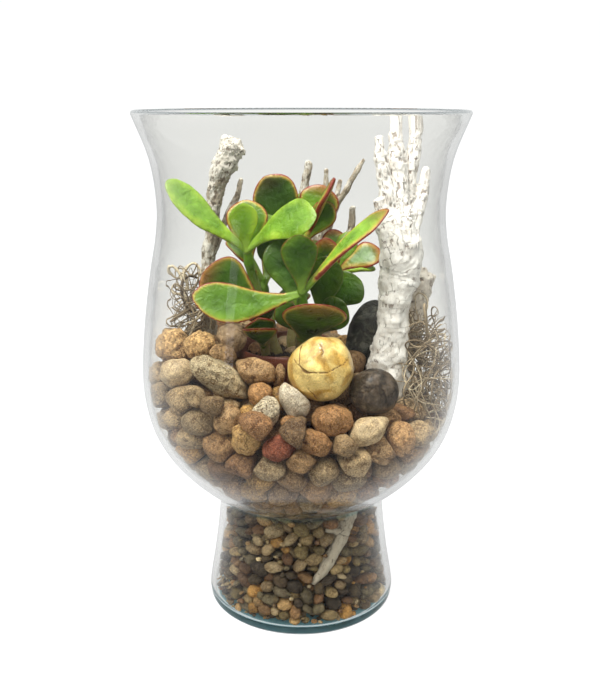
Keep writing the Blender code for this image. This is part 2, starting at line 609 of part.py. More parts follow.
# Each stem: its path of (x, y, z, radius), then its leaves: base, tip, facing, width, arch
LEAFY_STEMS = {
    "leafy_stem_left": (
        ((-12, -4, 150, 3), (-20, -6, 178, 2.8), (-28, -9, 205, 2.6), (-31.5, -12, 223, 2.5)),
        (
            ((-31, -11, 222), (-75, -18, 262), (0.35, -0.6, 0.75), 21, -2),
            ((-31, -12, 222), (9, -34, 245), (-0.1, -0.75, 0.65), 25, 5),
            ((-31, -13, 221), (-33, -16, 250), (0.1, -1, 0.1), 16, 0),
            ((-30, -9, 214), (-32, 2, 250), (0.05, -1, 0.15), 24, 0),
        ),
    ),
    "leafy_stem_front": (
        ((-1, -10, 150, 3.2), (0, -18, 170, 3), (0.5, -28, 188, 2.8), (0.5, -36, 204, 2.6)),
        (
            ((0.5, -36, 202), (-1.6, -41, 236), (0, -1, 0.12), 20, 0),
            ((0.5, -29, 191), (-12, -19, 231), (0.05, -1, 0.25), 27, 0),
            ((0.5, -35, 202), (47.5, -36, 248), (-0.68, -0.4, 0.6), 15, 3),
            ((0, -35, 202), (-58, -50, 203), (0, -0.9, 0.5), 23, -5),
            ((0.5, -19, 171), (10, -54, 200), (0, 0.6, 0.8), 36, -2),
            ((0, -21, 175), (-13, -27, 194), (0, -0.9, 0.4), 14, 0),
        ),
    ),
    "leafy_stem_middle": (
        ((-6, 3, 150, 3), (-4, 6, 190, 2.8), (0, 9, 215, 2.6), (3, 9, 228, 2.4)),
        (
            ((1, 9, 224), (-22, 8, 262), (-0.05, -1, 0.1), 27, 0),
            ((3, 9, 225), (13.5, 11, 257), (-0.1, -1, 0.15), 24, 0),
            ((2, 9, 224), (18, 3, 248), (-0.35, -1, 0.1), 16, 0),
            ((3, 8, 226), (19.5, -2, 262), (-0.87, 0, 0.5), 15, 2),
            ((0, 8, 223), (-25, 6, 242), (0.3, -0.9, 0.4), 14, 2),
            ((-1.5, 8, 206), (-24, 2, 228), (0.2, -1, 0.2), 20, 0),
            ((1, 10, 222), (4, 34, 250), (0, -0.6, 0.8), 22, 3),
            ((-1.5, 8, 208), (-26, 31, 228), (0.3, -0.5, 0.9), 22, 3),
            ((-2, 8, 202), (12, 33, 220), (0, -0.4, 1), 22, 3),
        ),
    ),
    "leafy_stem_right": (
        ((6, 0, 150, 3), (11, -2, 178, 2.8), (17, -1, 198, 2.6), (21, 0, 208, 2.4)),
        (
            ((20, 0, 206), (47, 0, 220), (-0.2, -0.8, 0.6), 17, 2),
            ((20, -1, 206), (44, 2, 209), (0, -0.12, 1), 15, 2),
            ((15, -2, 193), (14, -7, 229), (0, -1, 0.15), 17, 0),
            ((20, 0, 206), (19, 12, 231), (0.1, -1, 0.2), 15, 0),
            ((20, 0, 206), (30, 8, 230), (-0.2, -1, 0.3), 13, 0),
            ((13, -2, 184), (35, -9, 204), (-0.1, -0.9, 0.4), 22, 2),
            ((11, -2, 178), (15, -17, 220), (-0.05, -1, 0.2), 21, 0),
            ((9, -1, 170), (25, -19, 193), (-0.1, -1, 0.4), 20, 0),
            ((17, -1, 198), (38, 26, 214), (-0.3, -0.4, 1), 22, 3),
        ),
    ),
    "leafy_stem_low": (
        ((-19, -9, 150, 2.8), (-22, -13, 168, 2.6), (-22, -18, 184, 2.4), (-21, -20, 193, 2.2)),
        (
            ((-21, -19, 189), (-55, -28, 212), (0, -1, 0.3), 32, 1),
            ((-22, -13, 166), (-24, -38, 182), (0, 0.55, 0.84), 20, 1),
            ((-22, -14, 170), (-24, -28, 186), (0, -0.9, 0.4), 18, 0),
            ((-22, -16, 176), (-24, -28, 199), (0, -1, 0.3), 19, 0),
            ((-22, -15, 176), (-52, -2, 198), (0.3, -0.4, 1), 21, 3),
        ),
    ),
    "leafy_stem_back": (
        ((-16, 8, 150, 2.8), (-20, 16, 180, 2.6), (-24, 20, 200, 2.2)),
        (
            ((-24, 20, 198), (-46, 26, 222), (0.4, -0.2, 1), 22, 3),
            ((-23, 19, 196), (-12, 44, 214), (0, -0.5, 1), 22, 3),
            ((-20, 16, 180), (-38, 38, 190), (0.2, -0.2, 1), 22, 3),
            ((-19, 14, 174), (2, 36, 188), (-0.1, -0.3, 1), 22, 3),
        ),
    ),
}


def leafy_stem(name, path, leaves):
    """A stem with its leaves grown out of it."""
    stem = limb(name, path, 6, 0.05, 1)
    combine(stem, [leaf(f"{name}_{k}", *shape) for k, shape in enumerate(leaves)], "UNION", "MANIFOLD")
    stem.data.materials.clear()
    stem.data.materials.append(material("succulent_leaf", (0.14, 0.38, 0.07), 0.35))
    return stem


# Curly vine tufts
TUFT_CORNERS = 22
CURL_THICKNESS = 0.9
CURL_SIDES = 3
CURL_STEPS = 7
CURL_RADIUS = (8, 13)
CURL_SWEEP = (3.6, 5.2)


def curl(name, centre, radius, turn, sweep):
    """One curl of dried vine: an arc of a widening ring."""
    spin = Euler(turn).to_matrix()
    points = []
    rows = [[0]]
    for k in range(CURL_STEPS):
        share = k / (CURL_STEPS - 1)
        angle = sweep * share
        outwards = Vector((math.cos(angle), math.sin(angle), 0))
        middle = outwards * radius * (0.75 + 0.35 * share) + Vector((0, 0, radius * 0.3 * share))
        if k == 0:
            points.append(spin @ middle + Vector(centre))
        rows.append(list(range(len(points), len(points) + CURL_SIDES)))
        for j in range(CURL_SIDES):
            around = 2 * math.pi * j / CURL_SIDES
            offset = (outwards * math.cos(around) + Vector((0, 0, math.sin(around)))) * CURL_THICKNESS
            points.append(spin @ (middle + offset) + Vector(centre))
        last = spin @ middle + Vector(centre)
    rows.append([len(points)])
    points.append(last)
    return solid(name, points, skin(rows), smooth=False)


# Each tuft: centre, half sizes, number of curls, seed
VINE_TUFTS = {
    "vine_tuft_right": ((75, -6, 147), (5, 18, 27), 11, 3),
    "vine_tuft_left": ((-66, 16, 182), (5, 10, 11), 7, 8),
}


def vine_tuft(name, centre, half_sizes, curls, seed):
    """A tuft: curls of vine standing out of a matted core."""
    draw = random.Random(seed)
    core = stone(name, centre, half_sizes, (0, 0, 0), seed, TUFT_CORNERS, 0.3)
    arcs = []
    for k in range(curls):
        level = -0.8 + 1.7 * (k + 0.5) / curls
        angle = k * 2.4 + draw.uniform(-0.4, 0.4)
        out = math.sqrt(max(1 - level * level, 0.15)) * 0.9
        spot = (
            centre[0] + half_sizes[0] * out * math.cos(angle),
            centre[1] + half_sizes[1] * out * math.sin(angle),
            centre[2] + half_sizes[2] * level,
        )
        turn = (draw.uniform(-1.2, 1.2), draw.uniform(-1.2, 1.2), draw.uniform(0, 6.28))
        radius = draw.uniform(*CURL_RADIUS)
        arcs.append(curl(f"{name}_{k}", spot, radius, turn, draw.uniform(*CURL_SWEEP)))
    combine(core, arcs, "UNION", "MANIFOLD")
    core.data.materials.clear()
    core.data.materials.append(material("dried_vine", (0.3, 0.25, 0.16), 0.8))
    return core


def build():
    """Every piece, in the order in which each makes room for those before it."""
    for leftover in list(bpy.data.objects):
        bpy.data.objects.remove(leftover)
    glass_vase()
    pot, soil = pot_and_soil()
    stems = []
    for name, shape in LEAFY_STEMS.items():
        stems.append(make_room(leafy_stem(name, *shape), stems, "MANIFOLD"))
    make_room(soil, stems)
    pale_wood = (0.74, 0.7, 0.63)
    wood = [
        driftwood("driftwood_tall", TALL_DRIFTWOOD, pale_wood, 10),
        driftwood("driftwood_stump", STUMP, pale_wood),
        driftwood("driftwood_left", LEFT_DRIFTWOOD, (0.58, 0.53, 0.44)),
        driftwood("driftwood_back", BACK_DRIFTWOOD, (0.5, 0.45, 0.38), 6),
        driftwood("driftwood_foot", FOOT_DRIFTWOOD, pale_wood, 6),
    ]
    stones = shown_stones([pot, *wood, *stems])
    bed = make_room(stone_bed(), [pot, *stems, *wood, *stones], "MANIFOLD")
    make_room(foot_gravel(), wood)
    for name, shape in VINE_TUFTS.items():
        inside = cavity(BED_BOTTOM, VASE_HEIGHT - 10)
        tuft = combine(vine_tuft(name, *shape), [inside], "INTERSECT", "MANIFOLD")
        make_room(tuft, [bed, pot, *stems, *wood, *stones], "MANIFOLD")


build()
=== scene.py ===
"""The looks of a jade plant arrangement in a footed glass vase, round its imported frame.

Gravel fills the foot of the glass and river stones its bowl. A nursery pot with leafy
stems stands among the stones, beside driftwood and two tufts of curly vine.
Lengths are in millimetres, as in the frame's own source, until a mesh is made.
The front of the arrangement faces -Y.
"""

import math

import bmesh
import bpy
import numpy as np
from mathutils import Euler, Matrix, Vector, kdtree, noise
from mathutils.bvhtree import BVHTree


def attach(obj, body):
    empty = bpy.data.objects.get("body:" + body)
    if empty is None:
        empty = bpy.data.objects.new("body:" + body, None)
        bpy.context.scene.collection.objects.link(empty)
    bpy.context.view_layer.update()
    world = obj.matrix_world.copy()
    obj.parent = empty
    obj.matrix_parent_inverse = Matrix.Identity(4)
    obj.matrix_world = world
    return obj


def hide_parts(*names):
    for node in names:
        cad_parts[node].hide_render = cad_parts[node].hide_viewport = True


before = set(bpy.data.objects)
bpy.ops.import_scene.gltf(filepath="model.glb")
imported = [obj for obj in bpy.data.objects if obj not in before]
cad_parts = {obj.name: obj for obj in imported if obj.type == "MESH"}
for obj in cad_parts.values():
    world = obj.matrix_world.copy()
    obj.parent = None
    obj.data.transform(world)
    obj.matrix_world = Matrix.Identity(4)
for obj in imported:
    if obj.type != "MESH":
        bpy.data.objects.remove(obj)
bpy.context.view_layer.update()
bpy.context.scene.view_settings.view_transform = "Standard"

MM = 0.001
GAP = 0.3  # room left between pieces that touch
FULL_TURN = 6.28

# The vase: radius of its outer wall at each height
VASE_HEIGHT = 300
GLASS_WALL = 3.4
RIM_WALL = 2.1
GLASS_FLOOR = 4.6
FLOOR_ROUND = 3
UNDERSIDE = ((0, 1.6), (30, 1.5), (44, 1.1), (50, 0.2), (53.5, 0.05))
FOOT_CURVE = ((55.6, 0.6), (57.3, 2.6), (57.9, 6), (57.9, 10), (56, 22), (54.2, 33), (52, 50), (50.2, 70))
BOWL_CURVE = (
    (50.6, 72), (61.2, 79), (73.8, 91), (84.4, 105), (91.6, 122), (94.8, 145),
    (92.9, 175), (88.3, 208), (84, 231), (82.9, 250), (86.1, 274), (95.1, 298.2),
)
VASE_SIDES = 144
CURVE_STEPS = 4

# The nursery pot and its soil
POT_CENTRE = (-8, -4)
POT_TOP = 165
POT_BOTTOM = 116
POT_RIM_RADIUS = 31
POT_FOOT_RADIUS = 23
POT_LIP_HEIGHT = 7
POT_WALL = 1.4
POT_SIDES = 72
SOIL_TOP = 159
SOIL_CRUMBS = 230

# The stone bed: the height of its surface round the pot, and at the wall every 45
# degrees, from the right side by way of the back
BED_AT_POT = 157
BED_AT_WALL = (112, 132, 150, 160, 165, 153, 136, 121)
BED_POT_RADIUS = 32
BED_WALL_RADIUS = 88
BED_BOTTOM = 74.5
BED_LID = 172  # above every stone of the bed
BED_REACH = 92  # past every stone of the bed, from the axis
GRAVEL_TOP = 73.5
GRAVEL_REACH = 58


# Meshes
def unit(vectors):
    """Each vector at length one."""
    return vectors / np.linalg.norm(vectors, axis=-1, keepdims=True)


def smooth_line(points, steps):
    """A Catmull-Rom curve through the points, each stretch cut into equal steps."""
    points = np.asarray(points, float)
    held = np.vstack([2 * points[0] - points[1], points, 2 * points[-1] - points[-2]])
    t = (np.arange(steps) / steps)[:, None]
    made = []
    for a, b, c, d in zip(held, held[1:], held[2:], held[3:]):
        bend = (2 * a - 5 * b + 4 * c - d) * t**2 + (3 * b - a - 3 * c + d) * t**3
        made.append(0.5 * (2 * b + (c - a) * t + bend))
    return np.vstack(made + [points[-1:]])


def tube_faces(rings, sides):
    """Triangles of a closed tube: a tip, rings of points, and another tip."""
    grid = 1 + np.arange(rings * sides).reshape(rings, sides)
    after = np.roll(grid, -1, axis=1)
    first = np.stack([np.zeros_like(grid[0]), after[0], grid[0]], -1)
    last = np.stack([np.full_like(grid[0], rings * sides + 1), grid[-1], after[-1]], -1)
    lower = np.stack([grid[:-1], after[:-1], after[1:]], -1).reshape(-1, 3)
    upper = np.stack([grid[:-1], after[1:], grid[1:]], -1).reshape(-1, 3)
    return np.vstack([first, last, lower, upper])


def turned(profile, sides):
    """A solid of revolution. The profile of (radius, height) starts and ends on the axis."""
    profile = np.asarray(profile, float)
    angles = 2 * np.pi * np.arange(sides) / sides
    radii, heights = profile[1:-1, :1], profile[1:-1, 1:]
    rings = np.stack([radii * np.cos(angles), radii * np.sin(angles), heights + 0 * angles], -1)
    tips = [[(0, 0, height)] for height in profile[[0, -1], 1]]
    return np.vstack([tips[0], rings.reshape(-1, 3), tips[1]]), tube_faces(len(radii), sides)


def tube(path, sides):
    """A round limb along a path of (x, y, z, radius), with rounded ends."""
    path = np.asarray(path, float)
    spots, radii = path[:, :3], path[:, 3]
    along = unit(np.gradient(spots, axis=0))
    aside = unit(np.cross(along, (0.31, 0.9, 0.17)))
    other = np.cross(along, aside)
    angles = (2 * np.pi * np.arange(sides) / sides)[None, :, None]
    ways = aside[:, None] * np.cos(angles) + other[:, None] * np.sin(angles)
    rings = spots[:, None] + ways * radii[:, None, None]
    start = spots[0] - along[0] * radii[0] * 0.4
    end = spots[-1] + along[-1] * radii[-1] * 0.5
    return np.vstack([[start], rings.reshape(-1, 3), [end]]), tube_faces(len(path), sides)


def gather(forms):
    """One set of points, faces and point values out of several (points, faces, values)."""
    starts = np.cumsum([0] + [len(form[0]) for form in forms])
    faces = [form[1] + start for form, start in zip(forms, starts)]
    values = {key: np.concatenate([form[2][key] for form in forms]) for key in forms[0][2]}
    return np.vstack([form[0] for form in forms]), np.vstack(faces), values


def nearest_on(line, flat):
    """The spot on each stretch of a line that is nearest to each point, and how far it is."""
    starts, steps = line[:-1], np.diff(line, axis=0)
    share = ((flat[:, None] - starts) * steps).sum(-1) / (steps * steps).sum(-1)
    nearest = starts + np.clip(share, 0, 1)[..., None] * steps
    return nearest, np.linalg.norm(nearest - flat[:, None], axis=-1)


def rippled(points, pitch, shift=(0, 0, 0)):
    """Smooth noise at each point, between about -1 and 1."""
    return np.array([noise.noise(Vector(point) * pitch + Vector(shift)) for point in points])


def store(mesh, name, values):
    """Keeps a number or a vector for each point, for materials and node trees to read."""
    values = np.asarray(values, np.float32)
    kind, key = ("FLOAT", "value") if values.ndim == 1 else ("FLOAT_VECTOR", "vector")
    mesh.attributes.new(name, kind, "POINT").data.foreach_set(key, values.ravel())


def object_from(name, points, faces=(), edges=(), values=None):
    """An object from points in millimetres, with a value for each point where given."""
    mesh = bpy.data.meshes.new(name)
    mesh.from_pydata(np.asarray(points, float) * MM, edges, faces)
    for key, value in (values or {}).items():
        store(mesh, key, value)
    mesh.shade_smooth()
    return linked(bpy.data.objects.new(name, mesh))


def linked(made):
    """Puts a new object in the scene."""
    bpy.context.scene.collection.objects.link(made)
    return made


def settled(piece):
    """Turns what a piece's modifiers make into its plain mesh."""
    graph = bpy.context.evaluated_depsgraph_get()
    mesh = bpy.data.meshes.new_from_object(piece.evaluated_get(graph))
    piece.modifiers.clear()
    piece.data = mesh
    return piece


def points_of(piece, what="co"):
    """A piece's points in millimetres, or its normals."""
    held = np.empty(len(piece.data.vertices) * 3, np.float32)
    piece.data.vertices.foreach_get(what, held)
    return held.reshape(-1, 3).astype(float) / (MM if what == "co" else 1)


def move_points(piece, points):
    piece.data.vertices.foreach_set("co", (points * MM).astype(np.float32).ravel())


def show(piece, material, slot, *nodes):
    """Gives a finished piece its material, and its place in the frame."""
    if material:
        piece.data.materials.clear()
        piece.data.materials.append(material)
    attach(piece, "root")
    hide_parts(*nodes)
    return piece


# Node trees
class Value:
    """One output of a node, and what can be made of it: sums, patterns and blends."""

    def __init__(self, tree, socket):
        self.tree = tree
        self.socket = socket

    def sum(self, operation, other):
        """Arithmetic with another value, number or vector; times a number scales a vector."""
        if self.socket.type == "VALUE":
            return self.tree.maths(operation, self, other)
        if operation == "MULTIPLY" and not isinstance(other, tuple):
            return self.tree.node("ShaderNodeVectorMath", {0: self, "Scale": other}, operation="SCALE")
        return self.tree.node("ShaderNodeVectorMath", {0: self, 1: other}, operation=operation)

    def __add__(self, other):
        return self.sum("ADD", other)

    def __sub__(self, other):
        return self.sum("SUBTRACT", other)

    def __mul__(self, other):
        return self.sum("MULTIPLY", other)

    def __rtruediv__(self, other):
        return self.tree.maths("DIVIDE", other, self)

    def __gt__(self, other):
        return self.tree.maths("GREATER_THAN", self, other)

    def __lt__(self, other):
        return self.tree.maths("LESS_THAN", self, other)

    def or_more(self, other):
        return self.tree.maths("MAXIMUM", self, other)

    def eased(self, low, high, to_low=0.0, to_high=1.0, kind="SMOOTHSTEP"):
        """The value taken from one range to another."""
        sockets = {0: self, 1: low, 2: high, 3: to_low, 4: to_high}
        return self.tree.node("ShaderNodeMapRange", sockets, interpolation_type=kind)

    def noise(self, scale, detail=3.0, rough=0.55, twist=0.0, out="Fac"):
        sockets = {"Vector": self, "Scale": scale, "Detail": detail, "Roughness": rough, "Distortion": twist}
        return self.tree.node("ShaderNodeTexNoise", sockets, out)

    def cells(self, scale, feature="F1", out="Distance"):
        return self.tree.node("ShaderNodeTexVoronoi", {"Vector": self, "Scale": scale}, out, feature=feature)

    def mix(self, one, other):
        """From one colour to the other, by this share."""
        return self.tree.node("ShaderNodeMix", {0: self, 6: one, 7: other}, 2, data_type="RGBA")

    def ramp(self, *stops):
        made = self.tree.make("ShaderNodeValToRGB", {"Fac": self})
        elements = made.color_ramp.elements
        while len(elements) < len(stops):
            elements.new(0.5)
        for element, (spot, colour) in zip(elements, stops):
            element.position = spot
            element.color = (*colour, 1)
        return Value(self.tree, made.outputs["Color"])

    def bump(self, depth, **sockets):
        return self.tree.node("ShaderNodeBump", {"Height": self, "Distance": depth * MM, **sockets})


class Tree:
    """Short calls for the nodes of one tree."""

    def __init__(self, tree):
        self.nodes = tree.nodes
        self.links = tree.links

    def make(self, kind, sockets=None, **settings):
        """A new node, with what goes into its sockets."""
        made = self.nodes.new(kind)
        for name, value in settings.items():
            setattr(made, name, value)
        for name, value in (sockets or {}).items():
            self.feed(made.inputs[name], value)
        return made

    def node(self, kind, sockets=None, out=0, **settings):
        """One output of a new node."""
        return Value(self, self.make(kind, sockets, **settings).outputs[out])

    def outputs(self, kind, sockets=None, **settings):
        """Every output of a new node, by name."""
        made = self.make(kind, sockets, **settings)
        return {socket.name: Value(self, socket) for socket in made.outputs}

    def feed(self, socket, value):
        if isinstance(value, Value):
            self.links.new(value.socket, socket)
        else:
            socket.default_value = (*value, 1) if socket.type == "RGBA" else value

    def maths(self, operation, *values):
        return self.node("ShaderNodeMath", dict(enumerate(values)), operation=operation)

    def value(self, name, out="Fac"):
        return self.node("ShaderNodeAttribute", None, out, attribute_name=name)

    def named(self, name, kind="FLOAT"):
        return self.node("GeometryNodeInputNamedAttribute", {"Name": name}, "Attribute", data_type=kind)

    def place(self):
        """Object coordinates in millimetres."""
        return self.node("ShaderNodeTexCoord", None, "Object") * (1 / MM)

    def use(self, group, *values):
        """The outputs of one use of a node group."""
        made = self.make("ShaderNodeGroup", dict(enumerate(values)), node_tree=group)
        return [Value(self, socket) for socket in made.outputs]

    def give(self, **sockets):
        """Fills sockets of the material's shader; an underscore stands for a space."""
        for name, value in sockets.items():
            self.feed(self.shader.inputs[name.replace("_", " ")], value)
        return self.material


SOCKET_KINDS = {
    "Geometry": "Geometry", "Material": "Material", "Vector": "Vector", "Base": "Color", "Color": "Color",
    "Fineness": "Int", "Sides": "Int",
}


def new_group(name, kind, inputs, outputs):
    """A new node group: the group, its tree, and its inputs by name."""
    group = bpy.data.node_groups.new(name, kind + "NodeTree")
    for labels, way in ((inputs, "INPUT"), (outputs, "OUTPUT")):
        for label in labels:
            socket_kind = "NodeSocket" + SOCKET_KINDS.get(label, "Float")
            group.interface.new_socket(label, in_out=way, socket_type=socket_kind)
    tree = Tree(group)
    return group, tree, tree.outputs("NodeGroupInput")


def new_material(name, **sockets):
    """The tree of a new material, with its Principled shader and what that is given."""
    material = bpy.data.materials.new(name)
    material.use_nodes = True
    tree = Tree(material.node_tree)
    tree.material = material
    tree.shader = material.node_tree.nodes["Principled BSDF"]
    tree.give(**sockets)
    return tree


# Effects that several materials share
def mineral_grain():
    """Stone: clouds of darker and paler mineral, grains of both, and relief to match."""
    group, tree, given = new_group(
        "mineral_grain", "Shader",
        ("Vector", "Base", "Patch Size", "Patchiness", "Grain Size", "Graininess"), ("Color", "Height"),
    )
    place, base, patchiness, graininess = (given[k] for k in ("Vector", "Base", "Patchiness", "Graininess"))
    patch_scale, grain_scale = 1.0 / given["Patch Size"], 1.0 / given["Grain Size"]
    deep = base * (0.36, 0.26, 0.18)
    pale = base * (1.7, 1.66, 1.56) + (0.035, 0.027, 0.016)
    clouds = place.noise(patch_scale, 4, 0.6, 0.5)
    dust = (place + (37.0, 11.0, 5.0)).noise(patch_scale * 1.7, 4, 0.65)
    colour = (clouds.eased(0.46, 0.68) * patchiness).mix(base, deep)
    colour = (dust.eased(0.5, 0.7) * patchiness).mix(colour, pale)
    draw = tree.node("ShaderNodeSeparateColor", {0: place.cells(grain_scale, out="Color")})
    colour = (draw.eased(0.74, 0.9) * graininess).mix(colour, pale)
    colour = (draw.eased(0.26, 0.1) * graininess).mix(colour, deep)
    fine = place.noise(grain_scale * 1.6, 3, 0.7)
    colour = colour * fine.eased(0.25, 0.75, 0.78, 1.18)
    tree.make("NodeGroupOutput", {"Color": colour, "Height": clouds * 0.6 + fine * 0.4})
    return group


def crack_lines():
    """Thin wandering cracks, about a size apart and a width wide, that come and go."""
    group, tree, given = new_group("crack_lines", "Shader", ("Vector", "Size", "Width", "Amount"), ("Mask",))
    place, size = given["Vector"], given["Size"]
    scale = 1.0 / size
    push = (place.noise(scale, 4, 0.6, out="Color") - (0.5, 0.5, 0.5)) * (size * 1.3)
    edge = (place + push).cells(scale, "DISTANCE_TO_EDGE") * size
    line = edge.eased(0.0, given["Width"], 1.0, 0.0) * place.noise(scale, 2).eased(0.42, 0.55)
    tree.make("NodeGroupOutput", {"Mask": line * given["Amount"]})
    return group


def pits():
    """Round pits or dots about a size apart, of which a share is there."""
    group, tree, given = new_group("pits", "Shader", ("Vector", "Size", "Radius", "Share"), ("Mask",))
    size, radius = given["Size"], given["Radius"]
    scale = 1.0 / size
    place = given["Vector"] + given["Vector"].noise(scale, 2, out="Color") * size
    draw = tree.node("ShaderNodeSeparateColor", {0: place.cells(scale, out="Color")}, 1)
    spot = (place.cells(scale) * size).eased(radius * 0.35, radius, 1.0, 0.0)
    tree.make("NodeGroupOutput", {"Mask": spot * (draw < given["Share"])})
    return group


MINERAL_GRAIN = mineral_grain()
CRACK_LINES = crack_lines()
PITS = pits()


# Glass vase
def glass_outline():
    """The outside of the glass from its foot to its rim: two curves that meet at the neck."""
    return np.vstack([smooth_line(curve, CURVE_STEPS) for curve in (FOOT_CURVE, BOWL_CURVE)])


def glass_inside():
    """The inside of the glass, from the middle of its floor up to the rim."""
    walls = []
    for curve in (FOOT_CURVE, BOWL_CURVE):
        line = smooth_line(curve, CURVE_STEPS)
        along = unit(np.gradient(line, axis=0))
        wall = np.interp(line[:, 1], (270, 298), (GLASS_WALL, RIM_WALL))
        walls.append(line + np.stack([-along[:, 1], along[:, 0]], -1) * wall[:, None])
    foot = walls[0][walls[0][:, 1] > GLASS_FLOOR + FLOOR_ROUND]
    corner = []
    for k in range(6):
        angle = math.radians(90 * (1 - k / 6))
        radius = foot[0, 0] - FLOOR_ROUND * (1 - math.cos(angle))
        corner.append((radius, GLASS_FLOOR + FLOOR_ROUND * (1 - math.sin(angle))))
    floor = [(radius, GLASS_FLOOR) for radius in (0, 15, 30, 42)]
    return np.vstack([floor, corner, foot, walls[1]])


INSIDE = glass_inside()


def glass_gap(points):
    """How far each point is from the inside of the glass, and the way there."""
    reach = np.hypot(points[:, 0], points[:, 1])
    flat = np.stack([reach, points[:, 2]], -1)
    nearest, far = nearest_on(INSIDE, flat)
    steps = np.diff(INSIDE, axis=0)
    which = far.argmin(1)
    rows = np.arange(len(points))
    outwards = unit(np.stack([steps[:, 1], -steps[:, 0]], -1))[which]
    to_wall = nearest[rows, which] - flat
    inside = np.where((to_wall * outwards).sum(-1) >= 0, 1.0, -1.0)
    round_way = points[:, :2] / np.maximum(reach, 1e-6)[:, None]
    way = np.concatenate([round_way * outwards[:, :1], outwards[:, 1:]], axis=1)
    return far[rows, which] * inside, way


def kept_in_glass(points, room=GAP):
    """Points moved inwards where they come closer to the glass than the room asked."""
    gap, way = glass_gap(points)
    return points - way * np.maximum(room - gap, 0)[:, None]


def glass_finish():
    """Clear glass with a faint tint, greener at the thick foot and the neck; painted shade darkens the tint
    where the wall is seen edge on, and a painted dark grey-green line runs round the top of the rim.
    """
    tree = new_material(
        "clear_glass", Roughness=0.012, IOR=1.5, Transmission_Weight=1.0, Specular_Tint=(0.14, 0.14, 0.15)
    )
    place = tree.place()
    up = tree.node("ShaderNodeSeparateXYZ", {0: place}, "Z")
    neck = up.eased(68.0, 71.0) - up.eased(72.0, 76.0)
    green = up.eased(6.5, 2.5, 0.0, 0.75).or_more(neck)
    clear = place.noise(0.02, 2).mix((0.83, 0.834, 0.816), (0.854, 0.856, 0.838))
    # painted shade: the tint turns dark grey-blue where the wall is seen edge on, drawing the dark lines of
    # the glass's outline
    facing = tree.node("ShaderNodeLayerWeight", {"Blend": 0.5}, "Facing")
    clear = facing.eased(0.82, 0.97, kind="LINEAR").mix(clear, (0.3, 0.35, 0.37))
    # painted shade: a dark grey line round the top of the rim
    clear = up.eased(298.2, 299.3).mix(clear, (0.28, 0.31, 0.32))
    tree.give(Base_Color=green.mix(clear, (0.55, 0.8, 0.86)), Normal=place.noise(0.035, 2).bump(0.25))
    path = tree.outputs("ShaderNodeLightPath")
    through = tree.node("ShaderNodeBsdfTransparent", {"Color": (0.94, 0.955, 0.95)})
    plain = path["Is Diffuse Ray"].or_more(path["Glossy Depth"] > 2.5)
    glass = Value(tree, tree.shader.outputs[0])
    bounced = tree.node("ShaderNodeMixShader", {0: plain, 1: glass, 2: through})
    shaded = tree.node("ShaderNodeMixShader", {0: path["Is Shadow Ray"], 1: bounced, 2: through})
    tree.feed(tree.nodes["Material Output"].inputs["Surface"], shaded)
    return tree.material


def foot_finish():
    """The ground underside of the foot, which fills the thick glass above it with blue-green."""
    tree = new_material("ground_glass_foot", Roughness=0.45)
    place = tree.place()
    colour = place.noise(0.09, 4).mix((0.2, 0.48, 0.57), (0.4, 0.72, 0.8))
    return tree.give(Base_Color=colour, Normal=place.noise(3.0, 3).bump(0.1))


def make_vase():
    """One closed wall of glass with a rounded rim; its underside is ground."""
    lip = INSIDE[-1]
    edge = glass_outline()[-1]
    middle = (lip + edge) / 2
    rim = []
    for k in range(1, 8):
        angle = math.pi * k / 8
        across = (edge - middle) * math.cos(angle)
        rim.append(middle + across + np.array([0, math.sin(angle) * (VASE_HEIGHT - middle[1])]))
    profile = np.vstack([UNDERSIDE, glass_outline(), rim, INSIDE[::-1]])
    vase = object_from("vase_glass", *turned(profile, VASE_SIDES))
    show(vase, glass_finish(), "clear_glass", "vase")
    vase.data.materials.append(foot_finish())
    for face in vase.data.polygons:
        face.material_index = int(face.center.z < 0.0018 and face.center.xy.length < 0.0535)
    return vase


# Geometry node trees for what repeats
def pebble_tree():
    """A lumpy pebble on each point, by the point's own size, turn and seed."""
    group, tree, given = new_group(
        "pebbles", "Geometry", ("Geometry", "Fineness", "Lump", "Lump Scale", "Material"), ("Geometry",)
    )
    ball = {"Radius": 1.0, "Subdivisions": given["Fineness"]}
    turn = tree.node("FunctionNodeEulerToRotation", {0: tree.named("turn", "FLOAT_VECTOR")})
    placed = tree.node("GeometryNodeInstanceOnPoints", {
        "Points": given["Geometry"], "Instance": tree.node("GeometryNodeMeshIcoSphere", ball, "Mesh"),
        "Rotation": turn, "Scale": tree.named("size", "FLOAT_VECTOR"),
    })
    real = tree.node("GeometryNodeRealizeInstances", {"Geometry": placed})
    seed = {0: (3.1, 1.7, 2.3), "Scale": tree.named("stone_seed")}
    shift = tree.node("ShaderNodeVectorMath", seed, operation="SCALE")
    spot = tree.node("GeometryNodeInputPosition") + shift
    depth =(spot.noise(given["Lump Scale"], 1.5, 0.5) - 0.55) * given["Lump"]
    offset = tree.node("GeometryNodeInputNormal") * depth
    moved = tree.node("GeometryNodeSetPosition", {"Geometry": real, "Offset": offset})
    smooth = tree.node("GeometryNodeSetShadeSmooth", {0: moved})
    done = tree.node("GeometryNodeSetMaterial", {"Geometry": smooth, "Material": given["Material"]})
    tree.make("NodeGroupOutput", {0: done})
    return group


def strand_tree():
    """A round strand along each line of edges, as thick as its points say."""
    group, tree, given = new_group("strands", "Geometry", ("Geometry", "Sides", "Material"), ("Geometry",))
    curve = tree.node("GeometryNodeMeshToCurve", {0: given["Geometry"]})
    ring = tree.node("GeometryNodeCurvePrimitiveCircle", {"Resolution": given["Sides"], "Radius": 1.0})
    swept = tree.node("GeometryNodeCurveToMesh", {
        "Curve": curve, "Profile Curve": ring, "Scale": tree.named("thickness"), "Fill Caps": True,
    })
    real = tree.node("GeometryNodeRealizeInstances", {"Geometry": swept})
    done = tree.node("GeometryNodeSetMaterial", {"Geometry": real, "Material": given["Material"]})
    tree.make("NodeGroupOutput", {0: done})
    return group


